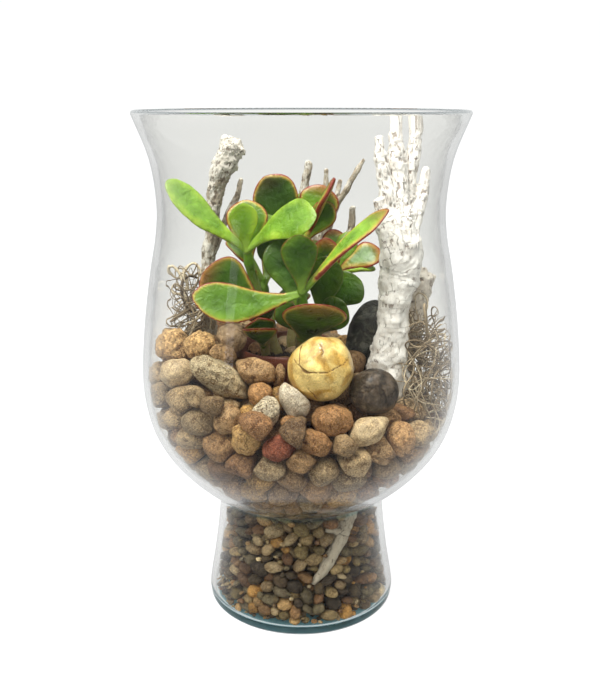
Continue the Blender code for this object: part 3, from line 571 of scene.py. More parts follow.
def grown(piece, group, **settings):
    """Replaces a piece's mesh by what a geometry node tree makes of it."""
    modifier = piece.modifiers.new("grow", "NODES")
    modifier.node_group = group
    for item in group.interface.items_tree:
        key = item.name.replace(" ", "_").lower()
        if item.item_type == "SOCKET" and item.in_out == "INPUT" and key in settings:
            modifier[item.identifier] = settings[key]
    return settled(piece)


PEBBLE_TREE = pebble_tree()
STRAND_TREE = strand_tree()


# Loose stones: where they lie
TRIES = 24000
SMALL_TRIES = 90000


def as_tree(pieces):
    """One search tree over the surfaces of several pieces, in millimetres."""
    forms = []
    for piece in pieces:
        mesh = piece.data
        mesh.calc_loop_triangles()
        corners = np.empty(len(mesh.loop_triangles) * 3, np.int32)
        mesh.loop_triangles.foreach_get("vertices", corners)
        forms.append((points_of(piece), corners.reshape(-1, 3), {}))
    points, faces, _ = gather(forms)
    return BVHTree.FromPolygons(points.tolist(), faces.tolist())


def push_clear(spots, radii, obstacles):
    """Moves stones out of the pieces that stand among them."""
    for k, spot in enumerate(spots):
        point, normal, _, far = obstacles.find_nearest(Vector(spot), float(radii[k]) * 1.6)
        if point is None:
            continue
        away = Vector(spot) - point
        if away.dot(normal) < 0:
            spots[k] = np.array(point + normal * float(radii[k]))
        elif far < radii[k]:
            spots[k] = np.array(point + away.normalized() * float(radii[k]))


def wall_push(spots, radii, squat):
    """Moves stones in from the glass, by how far each reaches towards it."""
    gap, way = glass_gap(spots)
    reach = radii * np.hypot(np.hypot(way[:, 0], way[:, 1]), way[:, 2] / squat)
    return spots - way * np.maximum(reach + GAP - gap, 0)[:, None]


def packed(low, top_at, sizes, squat, fill, obstacles, seed, rounds):
    """Stones that fill the glass from a height up to a surface, hardly overlapping.
    They are balls in a space stretched upwards by squat, so they lie flat."""
    draw = np.random.default_rng(seed)
    tries = draw.uniform((-BED_REACH, -BED_REACH, low), (BED_REACH, BED_REACH, BED_LID), (TRIES, 3))
    gap, _ = glass_gap(tries)
    tops = np.array([top_at(x, y) for x, y, _ in tries])
    free = []
    for spot in tries[(gap > 2) & (tries[:, 2] < tops)]:
        point, normal, _, _ = obstacles.find_nearest(Vector(spot))
        if (Vector(spot) - point).dot(normal) > 0:
            free.append(spot)
    room = (2 * BED_REACH) ** 2 * (BED_LID - low) * len(free) / len(tries)
    mean = (4 / 3 * math.pi * draw.uniform(*sizes, 4000) ** 3 / squat).mean()
    count = min(int(room * fill / mean), len(free))
    spots = np.array(free[:count])
    radii = draw.uniform(*sizes, count)
    stretch = np.array([1, 1, squat])
    for turn in range(rounds):
        tall = spots * stretch
        apart = tall[:, None] - tall[None]
        far = np.linalg.norm(apart, axis=-1) + np.eye(count) * 1e6
        overlap = np.maximum(radii[:, None] + radii[None] - far, 0)
        spots = spots + (apart * (overlap / far)[..., None]).sum(1) * 0.42 / stretch
        if turn % 4 == 0:
            push_clear(spots, radii, obstacles)
        spots[:, 2] = np.maximum(spots[:, 2], low + radii / squat)
        spots[:, 2] = np.minimum(spots[:, 2], np.array([top_at(x, y) for x, y, _ in spots]))
        spots = wall_push(spots, radii, squat)
    return spots, radii


def bed_surface(x, y):
    """Height of the stone bed: eased round the wall, and straight from wall to pot."""
    turn = math.atan2(y, x) / (2 * math.pi) * len(BED_AT_WALL)
    before = math.floor(turn)
    blend = (1 - math.cos(math.pi * (turn - before))) / 2
    low = BED_AT_WALL[before % len(BED_AT_WALL)]
    high = BED_AT_WALL[(before + 1) % len(BED_AT_WALL)]
    at_wall = low + (high - low) * blend
    share = (math.hypot(x, y) - BED_POT_RADIUS) / (BED_WALL_RADIUS - BED_POT_RADIUS)
    return BED_AT_POT + (at_wall - BED_AT_POT) * min(max(share, 0), 1)


# Loose stones: their form
def ball(fineness):
    """Points and faces of a ball of radius one."""
    built = bmesh.new()
    bmesh.ops.create_icosphere(built, subdivisions=fineness, radius=1)
    points = np.array([v.co for v in built.verts])
    faces = np.array([[v.index for v in f.verts] for f in built.faces])
    built.free()
    return points, faces


BALLS = {fineness: ball(fineness) for fineness in (2, 4, 5, 6)}


def waves(ways, draw, count, pitch):
    """Smooth random lumps over a ball, between about -1 and 1."""
    total = np.zeros(len(ways))
    for _ in range(count):
        wave = draw.normal(size=3) * pitch
        total += np.sin(ways @ wave + draw.uniform(0, FULL_TURN))
    return total / math.sqrt(count * 0.5) / 2


def limited(reach, ways, planes, sharpness):
    """A stone's reach each way, held back by planes with corners rounded off.
    A plane is a vector whose dot with a point is its distance where they meet."""
    total = reach**-sharpness
    for normal, distance in planes:
        total = total + (np.maximum(ways @ normal, 0) / max(distance, 0.4)) ** sharpness
    return total ** (-1 / sharpness)


def planes_from(centre, obstacles, within):
    """A plane for each neighbour close to a stone's centre, square to the way there."""
    planes = []
    for tree in obstacles:
        point, normal, _, far = tree.find_nearest(Vector(centre), within)
        if point is None:
            continue
        way = point - Vector(centre)
        if way.dot(normal) < 0 and far > 1e-3:
            planes.append((np.array(way) / far, far - GAP))
    return planes


STONE_TINTS = (
    (0.33, 0.19, 0.08), (0.26, 0.145, 0.06), (0.26, 0.185, 0.1), (0.4, 0.28, 0.145), (0.21, 0.105, 0.042),
    (0.14, 0.08, 0.035), (0.35, 0.2, 0.06), (0.28, 0.17, 0.08), (0.21, 0.135, 0.065), (0.31, 0.215, 0.11),
)
GRAVEL_TINTS = (
    (0.13, 0.11, 0.07), (0.115, 0.09, 0.04), (0.26, 0.17, 0.075), (0.42, 0.35, 0.22), (0.035, 0.026, 0.017),
    (0.12, 0.065, 0.03), (0.27, 0.15, 0.04), (0.2, 0.15, 0.085), (0.08, 0.055, 0.03), (0.24, 0.19, 0.115),
    (0.17, 0.1, 0.045), (0.1, 0.085, 0.05), (0.06, 0.045, 0.025), (0.16, 0.12, 0.06), (0.21, 0.16, 0.08),
)
GRAVEL_WARMTH = (1.08, 1.0, 0.88)
STONE_SQUAT = 1.3
STONE_SIZES = (6.8, 10.2)
GRAVEL_SQUAT = 1.2
GRAVEL_SIZES = (2.7, 5.0)
SMALL_SIZES = (1.2, 2.4)


def stone_finish(name, size, cracks=False):
    """River stones: each has its own tint, with clouds, grains, dust and pitting."""
    tree = new_material(name, Roughness=0.62, Specular_IOR_Level=0.3)
    seed = tree.node("ShaderNodeCombineXYZ", {0: 17.3, 1: 31.1, 2: 7.7}) * tree.value("stone_seed")
    place = tree.place() + seed
    tint = tree.value("stone_tint", "Color")
    colour, height = tree.use(MINERAL_GRAIN, place, tint, 11.0 * size, 0.9, size, 0.75)
    if cracks:
        colour = tree.use(CRACK_LINES, place, 13.0, 0.26, 0.9)[0].mix(colour, (0.09, 0.055, 0.035))
    pitted = tree.use(PITS, place, 1.7, 0.55, 0.4)[0]
    return tree.give(
        Base_Color=(pitted * 0.75).mix(colour, (0.07, 0.042, 0.022)),
        Roughness=height.eased(0.3, 0.7, 0.48, 0.78), Normal=(height - pitted * 0.35).bump(1.3 * size),
    )


def top_of_bed(x, y):
    return bed_surface(x, y) - 1.5


def bed_stones(obstacles):
    """The river stones of the bowl, each shaped against its neighbours and the glass."""
    draw = np.random.default_rng(21)
    spots, radii = packed(BED_BOTTOM, top_of_bed, STONE_SIZES, STONE_SQUAT, 0.7, as_tree(obstacles), 4, 140)
    trees = [as_tree([piece]) for piece in obstacles]
    stretch = np.array([1, 1, STONE_SQUAT])
    tall = spots * stretch
    gap, way = glass_gap(spots)
    forms = {"river_stones_wall": [], "river_stones_top": []}
    for k, spot in enumerate(spots):
        radius = radii[k]
        by_wall = gap[k] < radius * 1.7
        by_top = spot[2] > top_of_bed(*spot[:2]) - radius * 1.2
        ways, faces = BALLS[4 if by_wall or by_top else 2]
        planes = []
        apart = tall - tall[k]
        far = np.linalg.norm(apart, axis=1)
        for j in np.flatnonzero((far > 0) & (far < (radius + radii) * 1.3)):
            share = 0.5 + (radius**2 - radii[j] ** 2) / (2 * far[j] ** 2)
            planes.append((apart[j] / far[j] * stretch, far[j] * share - GAP / 2))
        planes += planes_from(spot, trees, radius * 1.9)
        planes.append((way[k], gap[k] - GAP))
        for _ in range(draw.integers(4, 9)):
            facet = unit(draw.normal(size=3))
            planes.append((facet * (1, 1, STONE_SQUAT), radius * draw.uniform(0.76, 1.04)))
        lean = unit(draw.normal(size=3) * (1, 1, 0.5))
        slim = draw.uniform(0.62, 1.45)
        round_ways = ways * (1, 1, STONE_SQUAT)
        round_ways = round_ways + (round_ways @ lean)[:, None] * lean * (slim - 1)
        reach = radius * draw.uniform(1.12, 1.3) / np.linalg.norm(round_ways, axis=1)
        reach = reach * (1 + 0.07 * waves(ways, draw, 5, 1.6) + 0.022 * waves(ways, draw, 6, 5))
        reach = limited(reach, ways, planes, draw.uniform(8, 20))
        reach = reach * (1 - 0.012 * (1 + waves(ways, draw, 7, 11)))
        points = kept_in_glass(spot + ways * reach[:, None])
        tint = np.array(STONE_TINTS[draw.integers(len(STONE_TINTS))]) * draw.uniform(0.8, 1.2)
        values = {"stone_tint": np.tile(tint, (len(points), 1)), "stone_seed": np.full(len(points), float(k))}
        forms["river_stones_wall" if by_wall else "river_stones_top"].append((points, faces, values))
    material = stone_finish("river_stone", 0.5, cracks=True)
    for name, parts in forms.items():
        points, faces, values = gather(parts)
        show(object_from(name, points, faces, values=values), material, "river_stones", "stone_bed")


def small_between(spots, radii, obstacles, draw):
    """Small pebbles in the gaps that larger ones leave along the glass."""
    low, high = SMALL_SIZES
    corner = (GRAVEL_REACH, GRAVEL_REACH, GRAVEL_TOP - 3)
    tries = draw.uniform((-GRAVEL_REACH, -GRAVEL_REACH, GLASS_FLOOR), corner, (SMALL_TRIES, 3))
    gap, _ = glass_gap(tries)
    tries = tries[(gap > low + GAP) & (gap < 6) & ((tries[:, 2] < 14) | (draw.random(len(tries)) < 0.25))]
    gap, _ = glass_gap(tries)
    spots, radii = list(spots), list(radii)
    start = len(spots)
    for spot, room in zip(tries, gap):
        radius = min(draw.uniform(low, high), room - GAP)
        far = np.linalg.norm(np.array(spots) - spot, axis=1) - np.array(radii) * 0.88
        if far.min() < radius * 0.75 or obstacles.find_nearest(Vector(spot), radius + GAP)[0] is not None:
            continue
        spots.append(spot)
        radii.append(radius)
    return np.array(spots[start:]), np.array(radii[start:])


def seeds(count):
    return np.arange(count, dtype=float)


def foot_gravel(obstacles):
    """Fine gravel in the foot of the glass: fine pebbles at the wall, plain ones within."""
    draw = np.random.default_rng(33)
    tree = as_tree(obstacles)
    spots, radii = packed(
        GLASS_FLOOR + GAP, lambda x, y: GRAVEL_TOP - 2.5, GRAVEL_SIZES, GRAVEL_SQUAT, 0.68, tree, 9, 90
    )
    small, small_radii = small_between(spots, radii, tree, draw)
    first = np.arange(len(spots) + len(small)) < len(spots)
    spots, radii = np.vstack([spots, small]), np.concatenate([radii, small_radii])
    gap, _ = glass_gap(spots)
    material = stone_finish("gravel_stone", 0.3)
    parts = (
        ("gravel_at_glass", first & (gap < 8.5), 3), ("gravel_within", first & (gap >= 8.5) & (gap < 17), 2),
        ("gravel_core", first & (gap >= 17), 1), ("gravel_between", ~first, 2),
    )
    for name, chosen, fineness in parts:
        count = int(chosen.sum())
        sizes = [draw.uniform(low, high, count) for low, high in ((1.0, 1.5), (0.86, 1.06), (0.62, 0.92))]
        turn = [draw.normal(0, 0.35, count), draw.normal(0, 0.35, count), draw.uniform(0, FULL_TURN, count)]
        tint = np.array(GRAVEL_TINTS)[draw.integers(len(GRAVEL_TINTS), size=count)]
        values = {
            "size": np.stack(sizes, -1) * radii[chosen][:, None] * MM, "turn": np.stack(turn, -1),
            "stone_tint": tint * draw.uniform(0.85, 1.7, count)[:, None] * GRAVEL_WARMTH,
            "stone_seed": seeds(count),
        }
        piece = object_from(name, spots[chosen], values=values)
        grown(piece, PEBBLE_TREE, fineness=fineness, lump=0.0026, lump_scale=170.0, material=material)
        move_points(piece, kept_in_glass(points_of(piece), 0.2))
        show(piece, None, "gravel", "foot_gravel")


# Stones that are seen one by one: centre, half sizes, turn in degrees, colour, kind
TAN = (0.38, 0.235, 0.11)
PALE = (0.5, 0.37, 0.21)
RUST = (0.3, 0.15, 0.055)
PUMICE = (0.5, 0.31, 0.13)
SHOWN_STONES = {
    "stone_yellow": ((10.8, -57, 165.5), (18, 16.5, 17.5), (0, 0, 15), (0.75, 0.52, 0.2), "onyx"),
    "stone_dark_round": ((39, -56, 152), (14, 12.5, 12.5), (0, 8, 10), (0.042, 0.031, 0.022), "polished"),
    "stone_dark_upright": ((40, 3, 168), (12.5, 8.5, 24), (0, 16, 10), (0.05, 0.051, 0.042), "slate"),
    "stone_cream": ((-68, -42, 158.5), (10.3, 8.6, 8.3), (0, -12, 18), PALE, "smooth"),
    "stone_grey_long": ((-45, -50, 158.5), (19.5, 8.5, 8.2), (8, 33, 6), (0.43, 0.34, 0.2), "rough"),
    "stone_tan_long": ((-25, -48, 161), (12.5, 7.5, 7), (0, 6, -6), TAN, "rough"),
    "stone_chip_upright": ((-12.3, -44, 157), (3.6, 4.5, 7.4), (0, 4, 0), TAN, "rough"),
    "stone_pale_oval": ((-3.2, -65, 150.5), (8.2, 7.5, 11.2), (0, -14, 0), (0.58, 0.49, 0.36), "smooth"),
    "stone_rust_oval": ((16, -71, 140.5), (11, 8.5, 9), (0, 6, 0), RUST, "rough"),
    "stone_cream_flat": ((34, -70, 134), (12.6, 7.5, 7.4), (0, -22, 8), PALE, "smooth"),
    "stone_orange": ((54, -60, 126.5), (7.8, 7.4, 9.8), (0, -8, 30), (0.46, 0.26, 0.11), "rough"),
    "stone_brown_low": ((42.5, -65, 122.5), (9.2, 7.5, 8), (0, 12, 18), TAN, "rough"),
    "stone_rough_small": ((-22.5, -58, 151), (7.2, 6.5, 6.4), (0, -40, 0), (0.38, 0.2, 0.075), "rough"),
    "stone_grey_speckled": ((-18.5, -69, 144), (7.4, 6.8, 9.6), (0, 28, 0), (0.42, 0.35, 0.24), "grainy"),
    "stone_golden": ((-29, -75, 132), (7.7, 7, 9.6), (0, -8, 18), (0.45, 0.27, 0.1), "rough"),
    "stone_red": ((-11.7, -79, 128.5), (9, 6.3, 6.9), (0, -8, 8), (0.24, 0.065, 0.03), "rough"),
    "stone_umber": ((7.4, -79, 131.5), (9.4, 6.5, 7), (0, 30, -4), RUST, "rough"),
    "stone_small_umber": ((-6.2, -72, 139.5), (5, 5, 4.5), (0, 0, 0), RUST, "rough"),
    "stone_tan_left": ((-39.5, -67, 140), (7.2, 7, 8.6), (0, 18, 30), TAN, "rough"),
    "stone_pumice_wall": ((-75, -14, 166), (10.5, 10, 10.8), (0, 10, 0), PUMICE, "pumice"),
    "stone_pumice_front": ((-57.5, -29, 170), (9, 8, 7.8), (0, 0, 15), PUMICE, "pumice"),
    "stone_pumice_small": ((-44, -36, 167), (7, 6.5, 6), (0, 20, 0), TAN, "pumice"),
    "stone_by_leaf": ((-40, -20, 173), (8.5, 8, 9.4), (0, -15, 0), (0.4, 0.28, 0.16), "rough"),
}
# The yellow stone's open cracks as the front shows them, in half widths right and up
CRACK_PATHS = (
    ((-0.82, 0.4), (-0.6, 0.24), (-0.42, 0.13), (-0.18, 0.16), (0.08, 0.13), (0.45, 0.24), (0.8, 0.42)),
    ((-0.58, 0.8), (-0.66, 0.6), (-0.64, 0.3)),
    ((-0.04, 0.9), (0.02, 0.72), (0.0, 0.56)),
    ((-0.45, -0.4), (-0.3, -0.55), (-0.12, -0.82)),
)
CRACK_DEPTH = 0.5
# Each kind: roughness, coat, size and strength of its clouds, size and strength of its
# grains, depth of its relief, and of the lumps in its form as a share of its size
KINDS = {
    "onyx": (0.3, 0.55, 9.0, 0.5, 0.8, 0.12, 0.12, 0.012),
    "polished": (0.3, 0.4, 6.0, 0.7, 0.7, 0.35, 0.15, 0.012),
    "slate": (0.6, 0.0, 7.0, 0.6, 0.5, 0.35, 0.5, 0.03),
    "smooth": (0.5, 0.0, 5.0, 0.6, 0.5, 0.55, 0.35, 0.015),
    "rough": (0.62, 0.0, 4.5, 1.0, 0.5, 0.65, 0.7, 0.035),
    "grainy": (0.66, 0.0, 4.0, 0.6, 0.7, 0.95, 0.7, 0.03),
    "pumice": (0.85, 0.0, 4.0, 0.85, 1.0, 0.7, 1.2, 0.1),
}


def shown_stone_finish(name, colour, kind):
    """The finish of one stone that is seen on its own."""
    roughness, coat, patch, patchiness, grain_size, graininess, depth, _ = KINDS[kind]
    tree = new_material(
        name, Roughness=roughness, Coat_Weight=coat, Coat_Roughness=0.12, Specular_IOR_Level=0.3
    )
    place = tree.place()
    if kind == "onyx":
        warm = place.noise(0.07, 3, 0.5, 1.2).eased(0.4, 0.62)
        colour = warm.mix((0.8, 0.58, 0.2), (0.56, 0.33, 0.07))
    if kind in ("polished", "slate"):
        paler = place.noise(0.16, 5, 0.65, 0.8).eased(0.42, 0.66)
        colour = paler.mix(tuple(0.6 * c for c in colour), tuple(2.6 * c for c in colour))
    skin, height = tree.use(MINERAL_GRAIN, place, colour, patch, patchiness, grain_size, graininess)
    relief = height
    if kind in ("onyx", "rough", "smooth"):
        size, width, amount = (24.0, 0.45, 0.3) if kind == "onyx" else (15.0, 0.25, 0.8)
        lines = tree.use(CRACK_LINES, place, size, width, amount)[0]
        skin = lines.mix(skin, (0.16, 0.09, 0.035))
        relief = relief - lines
    if kind == "onyx":
        skin = tree.value("crack").eased(0.1, 0.9, 0.0, 0.9).mix(skin, (0.13, 0.055, 0.015))
    if kind in ("rough", "grainy", "pumice"):
        pitted = tree.use(PITS, place, 1.8, 0.6, 0.45)[0]
        skin = (pitted * 0.65).mix(skin, (0.1, 0.06, 0.035))
        relief = relief - pitted * 0.5
    return tree.give(
        Base_Color=skin, Roughness=height.eased(0.3, 0.7, roughness - 0.08, roughness + 0.1),
        Normal=relief.bump(depth),
    )


def cracked(points, centre, half_sizes):
    """How deep in a crack each point lies, from 0 to 1, on the side towards the front."""
    flat = (points - centre)[:, ::2] / (half_sizes[0], half_sizes[2])
    flat = flat + [[0.03 * noise.noise(Vector((x * 9, z * 9, k))) for k in (0, 7)] for x, z in flat]
    wide = 0.013 * (1 + 2.8 * np.exp(-((flat[:, 0] + 0.48) ** 2 + (flat[:, 1] - 0.15) ** 2) * 40))
    deep = np.zeros(len(points))
    for path in CRACK_PATHS:
        far = nearest_on(smooth_line(path, 6), flat)[1].min(1)
        deep = np.maximum(deep, np.clip(1.5 - far / wide, 0, 1))
    return deep * (points[:, 1] < centre[1])


def shown_stones(standing):
    """The stones that lie free on the bed, each held back by the pieces before it."""
    placed = []
    trees = [as_tree([piece]) for piece in standing]
    draw = np.random.default_rng(8)
    for number, (name, (centre, half_sizes, turn, colour, kind)) in enumerate(SHOWN_STONES.items()):
        worn_round = kind in ("onyx", "polished")
        ways, faces = BALLS[6 if kind == "onyx" else 5 if max(half_sizes) > 9 else 4]
        spin = np.array(Euler([math.radians(a) for a in turn]).to_matrix())
        lumps = rippled(ways, 1.7, (number * 3.1, 0, 0))
        lump = 0.07 if worn_round else 0.16
        away = (ways * half_sizes * (1 + lump * lumps)[:, None]) @ spin.T
        reach = np.linalg.norm(away, axis=1)
        way = away / reach[:, None]
        strength = KINDS[kind][-1]
        reach = reach * (1 + strength * (waves(way, draw, 6, 3) + 0.6 * waves(way, draw, 8, 9)))
        planes = planes_from(centre, trees, max(half_sizes) * 1.3)
        for _ in range(0 if worn_round else 6):
            facet = unit(draw.normal(size=3))
            planes.append((facet, (way @ facet * reach).max() * draw.uniform(0.9, 1.0)))
        reach = limited(reach, way, planes, 12)
        points = kept_in_glass(np.array(centre) + way * reach[:, None])
        cracks = np.zeros(len(points))
        if kind == "onyx":
            cracks = cracked(points, np.array(centre), half_sizes)
            points = points - way * CRACK_DEPTH * cracks[:, None]
        piece = object_from(name + "_form", points, faces, values={"crack": cracks})
        placed.append(show(piece, shown_stone_finish(name, colour, kind), name, name))
        trees.append(as_tree([piece]))
    return placed


# Nursery pot
def pot_radius(height):
    """Radius of the pot's outer wall below its lip."""
    share = (height - POT_BOTTOM) / (POT_TOP - POT_BOTTOM)
    return POT_FOOT_RADIUS + (POT_RIM_RADIUS - 2.2 - POT_FOOT_RADIUS) * share


def make_pot():
    """The plastic pot with its rolled rim."""
    top, bottom, rim, foot = POT_TOP, POT_BOTTOM, POT_RIM_RADIUS, POT_FOOT_RADIUS
    lip = top - POT_LIP_HEIGHT
    points, faces = turned([
        (0, bottom), (foot - 1, bottom), (foot, bottom + 1), (pot_radius(lip) - 0.3, lip - 0.6),
        (pot_radius(lip), lip), (rim - 0.5, lip + 0.2), (rim, lip + 0.8), (rim, top - 1.2),
        (rim - 0.25, top - 0.35), (rim - 0.9, top), (rim - 1.6, top - 0.2), (rim - 1.9, top - 1),
        (pot_radius(SOIL_TOP) - POT_WALL, SOIL_TOP + 0.8), (foot - POT_WALL, bottom + POT_WALL),
        (0, bottom + POT_WALL),
    ], POT_SIDES)
    tree = new_material("pot_plastic", Roughness=0.42)
    place = tree.place()
    scuffs = place.noise(0.35, 5, 0.7).eased(0.5, 0.75)
    tree.give(
        Base_Color=scuffs.mix((0.17, 0.05, 0.028), (0.3, 0.13, 0.08)),
        Roughness=scuffs.eased(0.0, 1.0, 0.36, 0.6), Normal=place.noise(1.4, 3).bump(0.12),
    )
    pot = object_from("pot_shell", points + (*POT_CENTRE, 0), faces)
    return show(pot, tree.material, "pot_plastic", "nursery_pot")


def make_soil():
    """The soil in the pot, rough on top, and crumbs lying on it."""
    edge = pot_radius(SOIL_TOP) - 2
    profile = [(0, POT_BOTTOM + 1.8), (POT_FOOT_RADIUS - 2, POT_BOTTOM + 1.8), (edge, SOIL_TOP - 1.5)]
    profile += [(edge * share, SOIL_TOP - 0.4 + (1 - share)) for share in np.linspace(0.97, 0.05, 26)]
    points, faces = turned(profile + [(0, SOIL_TOP + 0.6)], POT_SIDES)
    top = points[:, 2] > SOIL_TOP - 2
    rough = rippled(points, 0.35) + 0.6 * rippled(points, 1.1)
    points[top, 2] += rough[top] * 1.1
    soil = object_from("soil_mass", points + (*POT_CENTRE, 0), faces)
    draw = np.random.default_rng(2)
    count = SOIL_CRUMBS
    angle, reach = draw.uniform(0, FULL_TURN, count), edge * np.sqrt(draw.uniform(0, 0.94, count))
    spots = np.stack([reach * np.cos(angle), reach * np.sin(angle), np.full(count, SOIL_TOP + 0.6)], -1)
    size = draw.uniform(0.5, 1.7, count)[:, None] * draw.uniform(0.6, 1.1, (count, 3)) * MM
    values = {"size": size, "turn": draw.uniform(0, FULL_TURN, (count, 3)), "stone_seed": seeds(count)}
    crumbs = object_from("soil_crumbs", spots + (*POT_CENTRE, 0), values=values)
    tree = new_material("potting_soil", Roughness=0.95)
    place = tree.place()
    fibre = place.noise(0.9, 4, 0.7).eased(0.55, 0.75)
    tree.give(
        Base_Color=fibre.mix((0.028, 0.018, 0.012), (0.13, 0.08, 0.045)),
        Normal=place.noise(1.8, 5, 0.75).bump(0.9),
    )
    grown(crumbs, PEBBLE_TREE, fineness=1, lump=0.0007, lump_scale=500.0, material=tree.material)
    show(soil, tree.material, "potting_soil", "potting_soil")
    show(crumbs, None, "potting_soil", "potting_soil")


# Driftwood
LIMB_STEPS = 6
LIMB_SIDES = 24
# Each finish: chalky skin, wood, deep brown, and how far it is worn before wood shows
WOOD_FINISHES = {
    "pale": ((0.93, 0.89, 0.81), (0.52, 0.42, 0.31), (0.17, 0.11, 0.07), 0.72),
    "cream": ((0.82, 0.74, 0.62), (0.5, 0.38, 0.26), (0.16, 0.1, 0.06), 0.6),
    "grey": ((0.74, 0.7, 0.6), (0.42, 0.35, 0.25), (0.13, 0.095, 0.065), 0.58),
    "tan": ((0.5, 0.43, 0.32), (0.27, 0.2, 0.13), (0.07, 0.05, 0.035), 0.64),
}
# Each piece of driftwood: finish, slot, fineness, the height its chalk starts at, the
# heights that it is worn smooth between, and along each of its limbs x, y, z and radius
DRIFTWOOD = {
    "driftwood_tall": ("pale", "pale_driftwood", 0.75, 0, (140, 236), (
        ((52, -12, 124, 9), (51, -15, 146, 12.5), (51, -16, 160, 11), (53, -17, 176, 9.3),
         (53, -17, 192, 8.6), (56, -15, 208, 11.4), (57, -14, 222, 12.2), (55, -11, 240, 9.5),
         (54, -9, 252, 6)),
        ((53, -12, 232, 6.5), (49, -12, 252, 5.2), (45, -11, 270, 4), (43, -10, 284, 2.6)),
        ((55, -9, 238, 7), (55, -5, 258, 6.2), (54, -2, 277, 4.6), (54, 0, 291, 2.8)),
        ((57, -8, 236, 6), (61, 0, 256, 4.8), (65, 6, 277, 4.2), (67.5, 9, 294, 3.2)),
        ((59, -12, 222, 6.5), (65, -5, 240, 5), (70, 1, 254, 4), (73.5, 4, 266, 2.8)),
        ((52, -15, 222, 6), (46, -16, 238, 4.6), (43, -16, 252, 2.8)),
        ((57, -15, 214, 7), (64.5, -13, 218, 4.6), (67.5, -12, 220, 3)),
    )),
    "driftwood_stump": ("cream", "pale_driftwood", 0.8, 0, (0, 0), (
        ((60, 10, 118, 5.5), (64, 12, 150, 6), (68, 13, 172, 7), (71, 14, 190, 8.2), (73, 14, 203, 9)),
        ((70, 14, 184, 6), (66, 17, 196, 4.5), (65, 18, 202, 3)),
    )),
    "driftwood_left": ("grey", "grey_driftwood", 0.7, 258, (0, 0), (
        ((-57, 27, 132, 5.2), (-58, 28, 160, 5), (-59, 29, 185, 4.6), (-58, 30, 209, 4.4),
         (-55, 30, 233, 4.3), (-53, 30, 249, 5.2), (-50, 30, 261, 6.6), (-44, 30, 271, 7.4),
         (-38, 30, 277, 6.2)),
        ((-49, 30, 262, 5.5), (-46, 31, 274, 4.6), (-46, 31, 281, 3)),
        ((-56, 30, 214, 3.2), (-49, 37, 230, 2.4), (-41, 45, 247, 2), (-38, 48, 257, 1.5)),
    )),
    "driftwood_back": ("grey", "grey_driftwood", 0.72, 300, (0, 0), (
        ((12, 50, 128, 6.2), (13, 50, 160, 5.6), (14, 50, 190, 5), (12, 51, 215, 4)),
        ((12, 50, 208, 3.8), (4, 51, 230, 3.2), (2, 51, 250, 2.9), (5, 51, 266, 2.3)),
        ((12, 50, 212, 3.4), (15, 51, 236, 2.4), (16, 51, 262, 1.7)),
        ((13, 50, 205, 3.2), (20, 46, 236, 2.2), (29, 43, 253, 1.8), (39, 42, 268, 1.3)),
        ((19, 47, 232, 2.2), (22, 50, 246, 2), (25, 52, 256, 1.6)),
        ((13, 50, 192, 3.4), (25, 52, 208, 2.8), (32, 52, 226, 2.4), (33, 52, 240, 2.1)),
    )),
    "driftwood_foot": ("tan", "pale_driftwood", 0.6, 0, (0, 0), (
        ((27, -25, 84, 4.4), (28, -29.5, 72, 4.6), (25.5, -33, 61, 4.6), (20, -38.5, 49, 3.9),
         (13, -43.5, 37, 3), (7, -46, 29, 1.6)),
        ((24, -35, 57, 3), (18, -38, 60, 2.4), (14, -40, 61, 1.4)),
    )),
}


def wood_finish(name, chalk_colour, wood_colour, deep_colour, worn_from):
    """Driftwood: a chalky skin that flakes off the wood, brown in its cracks and hollows."""
    tree = new_material(name, Roughness=0.88, Specular_IOR_Level=0.25)
    place, grain = tree.place(), tree.value("wood_grain", "Vector")
    chalk, hollow = tree.value("chalk"), tree.value("hollow")
    fibres = grain.noise(0.6, 5, 0.7, 0.4)
    flakes = place.noise(1.1, 5, 0.75, 1.0)
    bare = place.noise(0.085, 3, 0.6) * 0.8 + flakes * 0.45 + hollow * 0.25 - chalk * 0.25
    streak = grain.noise(1.3, 4, 0.7).eased(0.48, 0.72)
    crowded = bare.eased(worn_from - 0.1, worn_from + 0.08, 0.0, 0.75)
    cracks = tree.use(CRACK_LINES, grain, 6.0, 0.26, 0.8)[0]
    marks = tree.use(PITS, place, 1.0, 0.36, 0.45)[0] * (crowded * 0.8 + 0.16)
    skin = place.noise(0.13, 4, 0.6, 0.8).eased(0.45, 0.75, 0.0, 0.4).mix(chalk_colour, wood_colour)
    for share in (streak * 0.34, bare.eased(worn_from, worn_from + 0.08, 0.0, 0.9)):
        skin = share.mix(skin, wood_colour)
    for share in (streak * crowded, hollow.eased(0.35, 1.0, 0.0, 0.7), cracks, marks):
        skin = share.mix(skin, deep_colour)
    relief = fibres * 0.9 - marks * 0.5 + flakes * crowded * 0.4 - cracks * 0.9
    return tree.give(Base_Color=skin, Roughness=fibres.eased(0.3, 0.7, 0.78, 0.95), Normal=relief.bump(0.4))


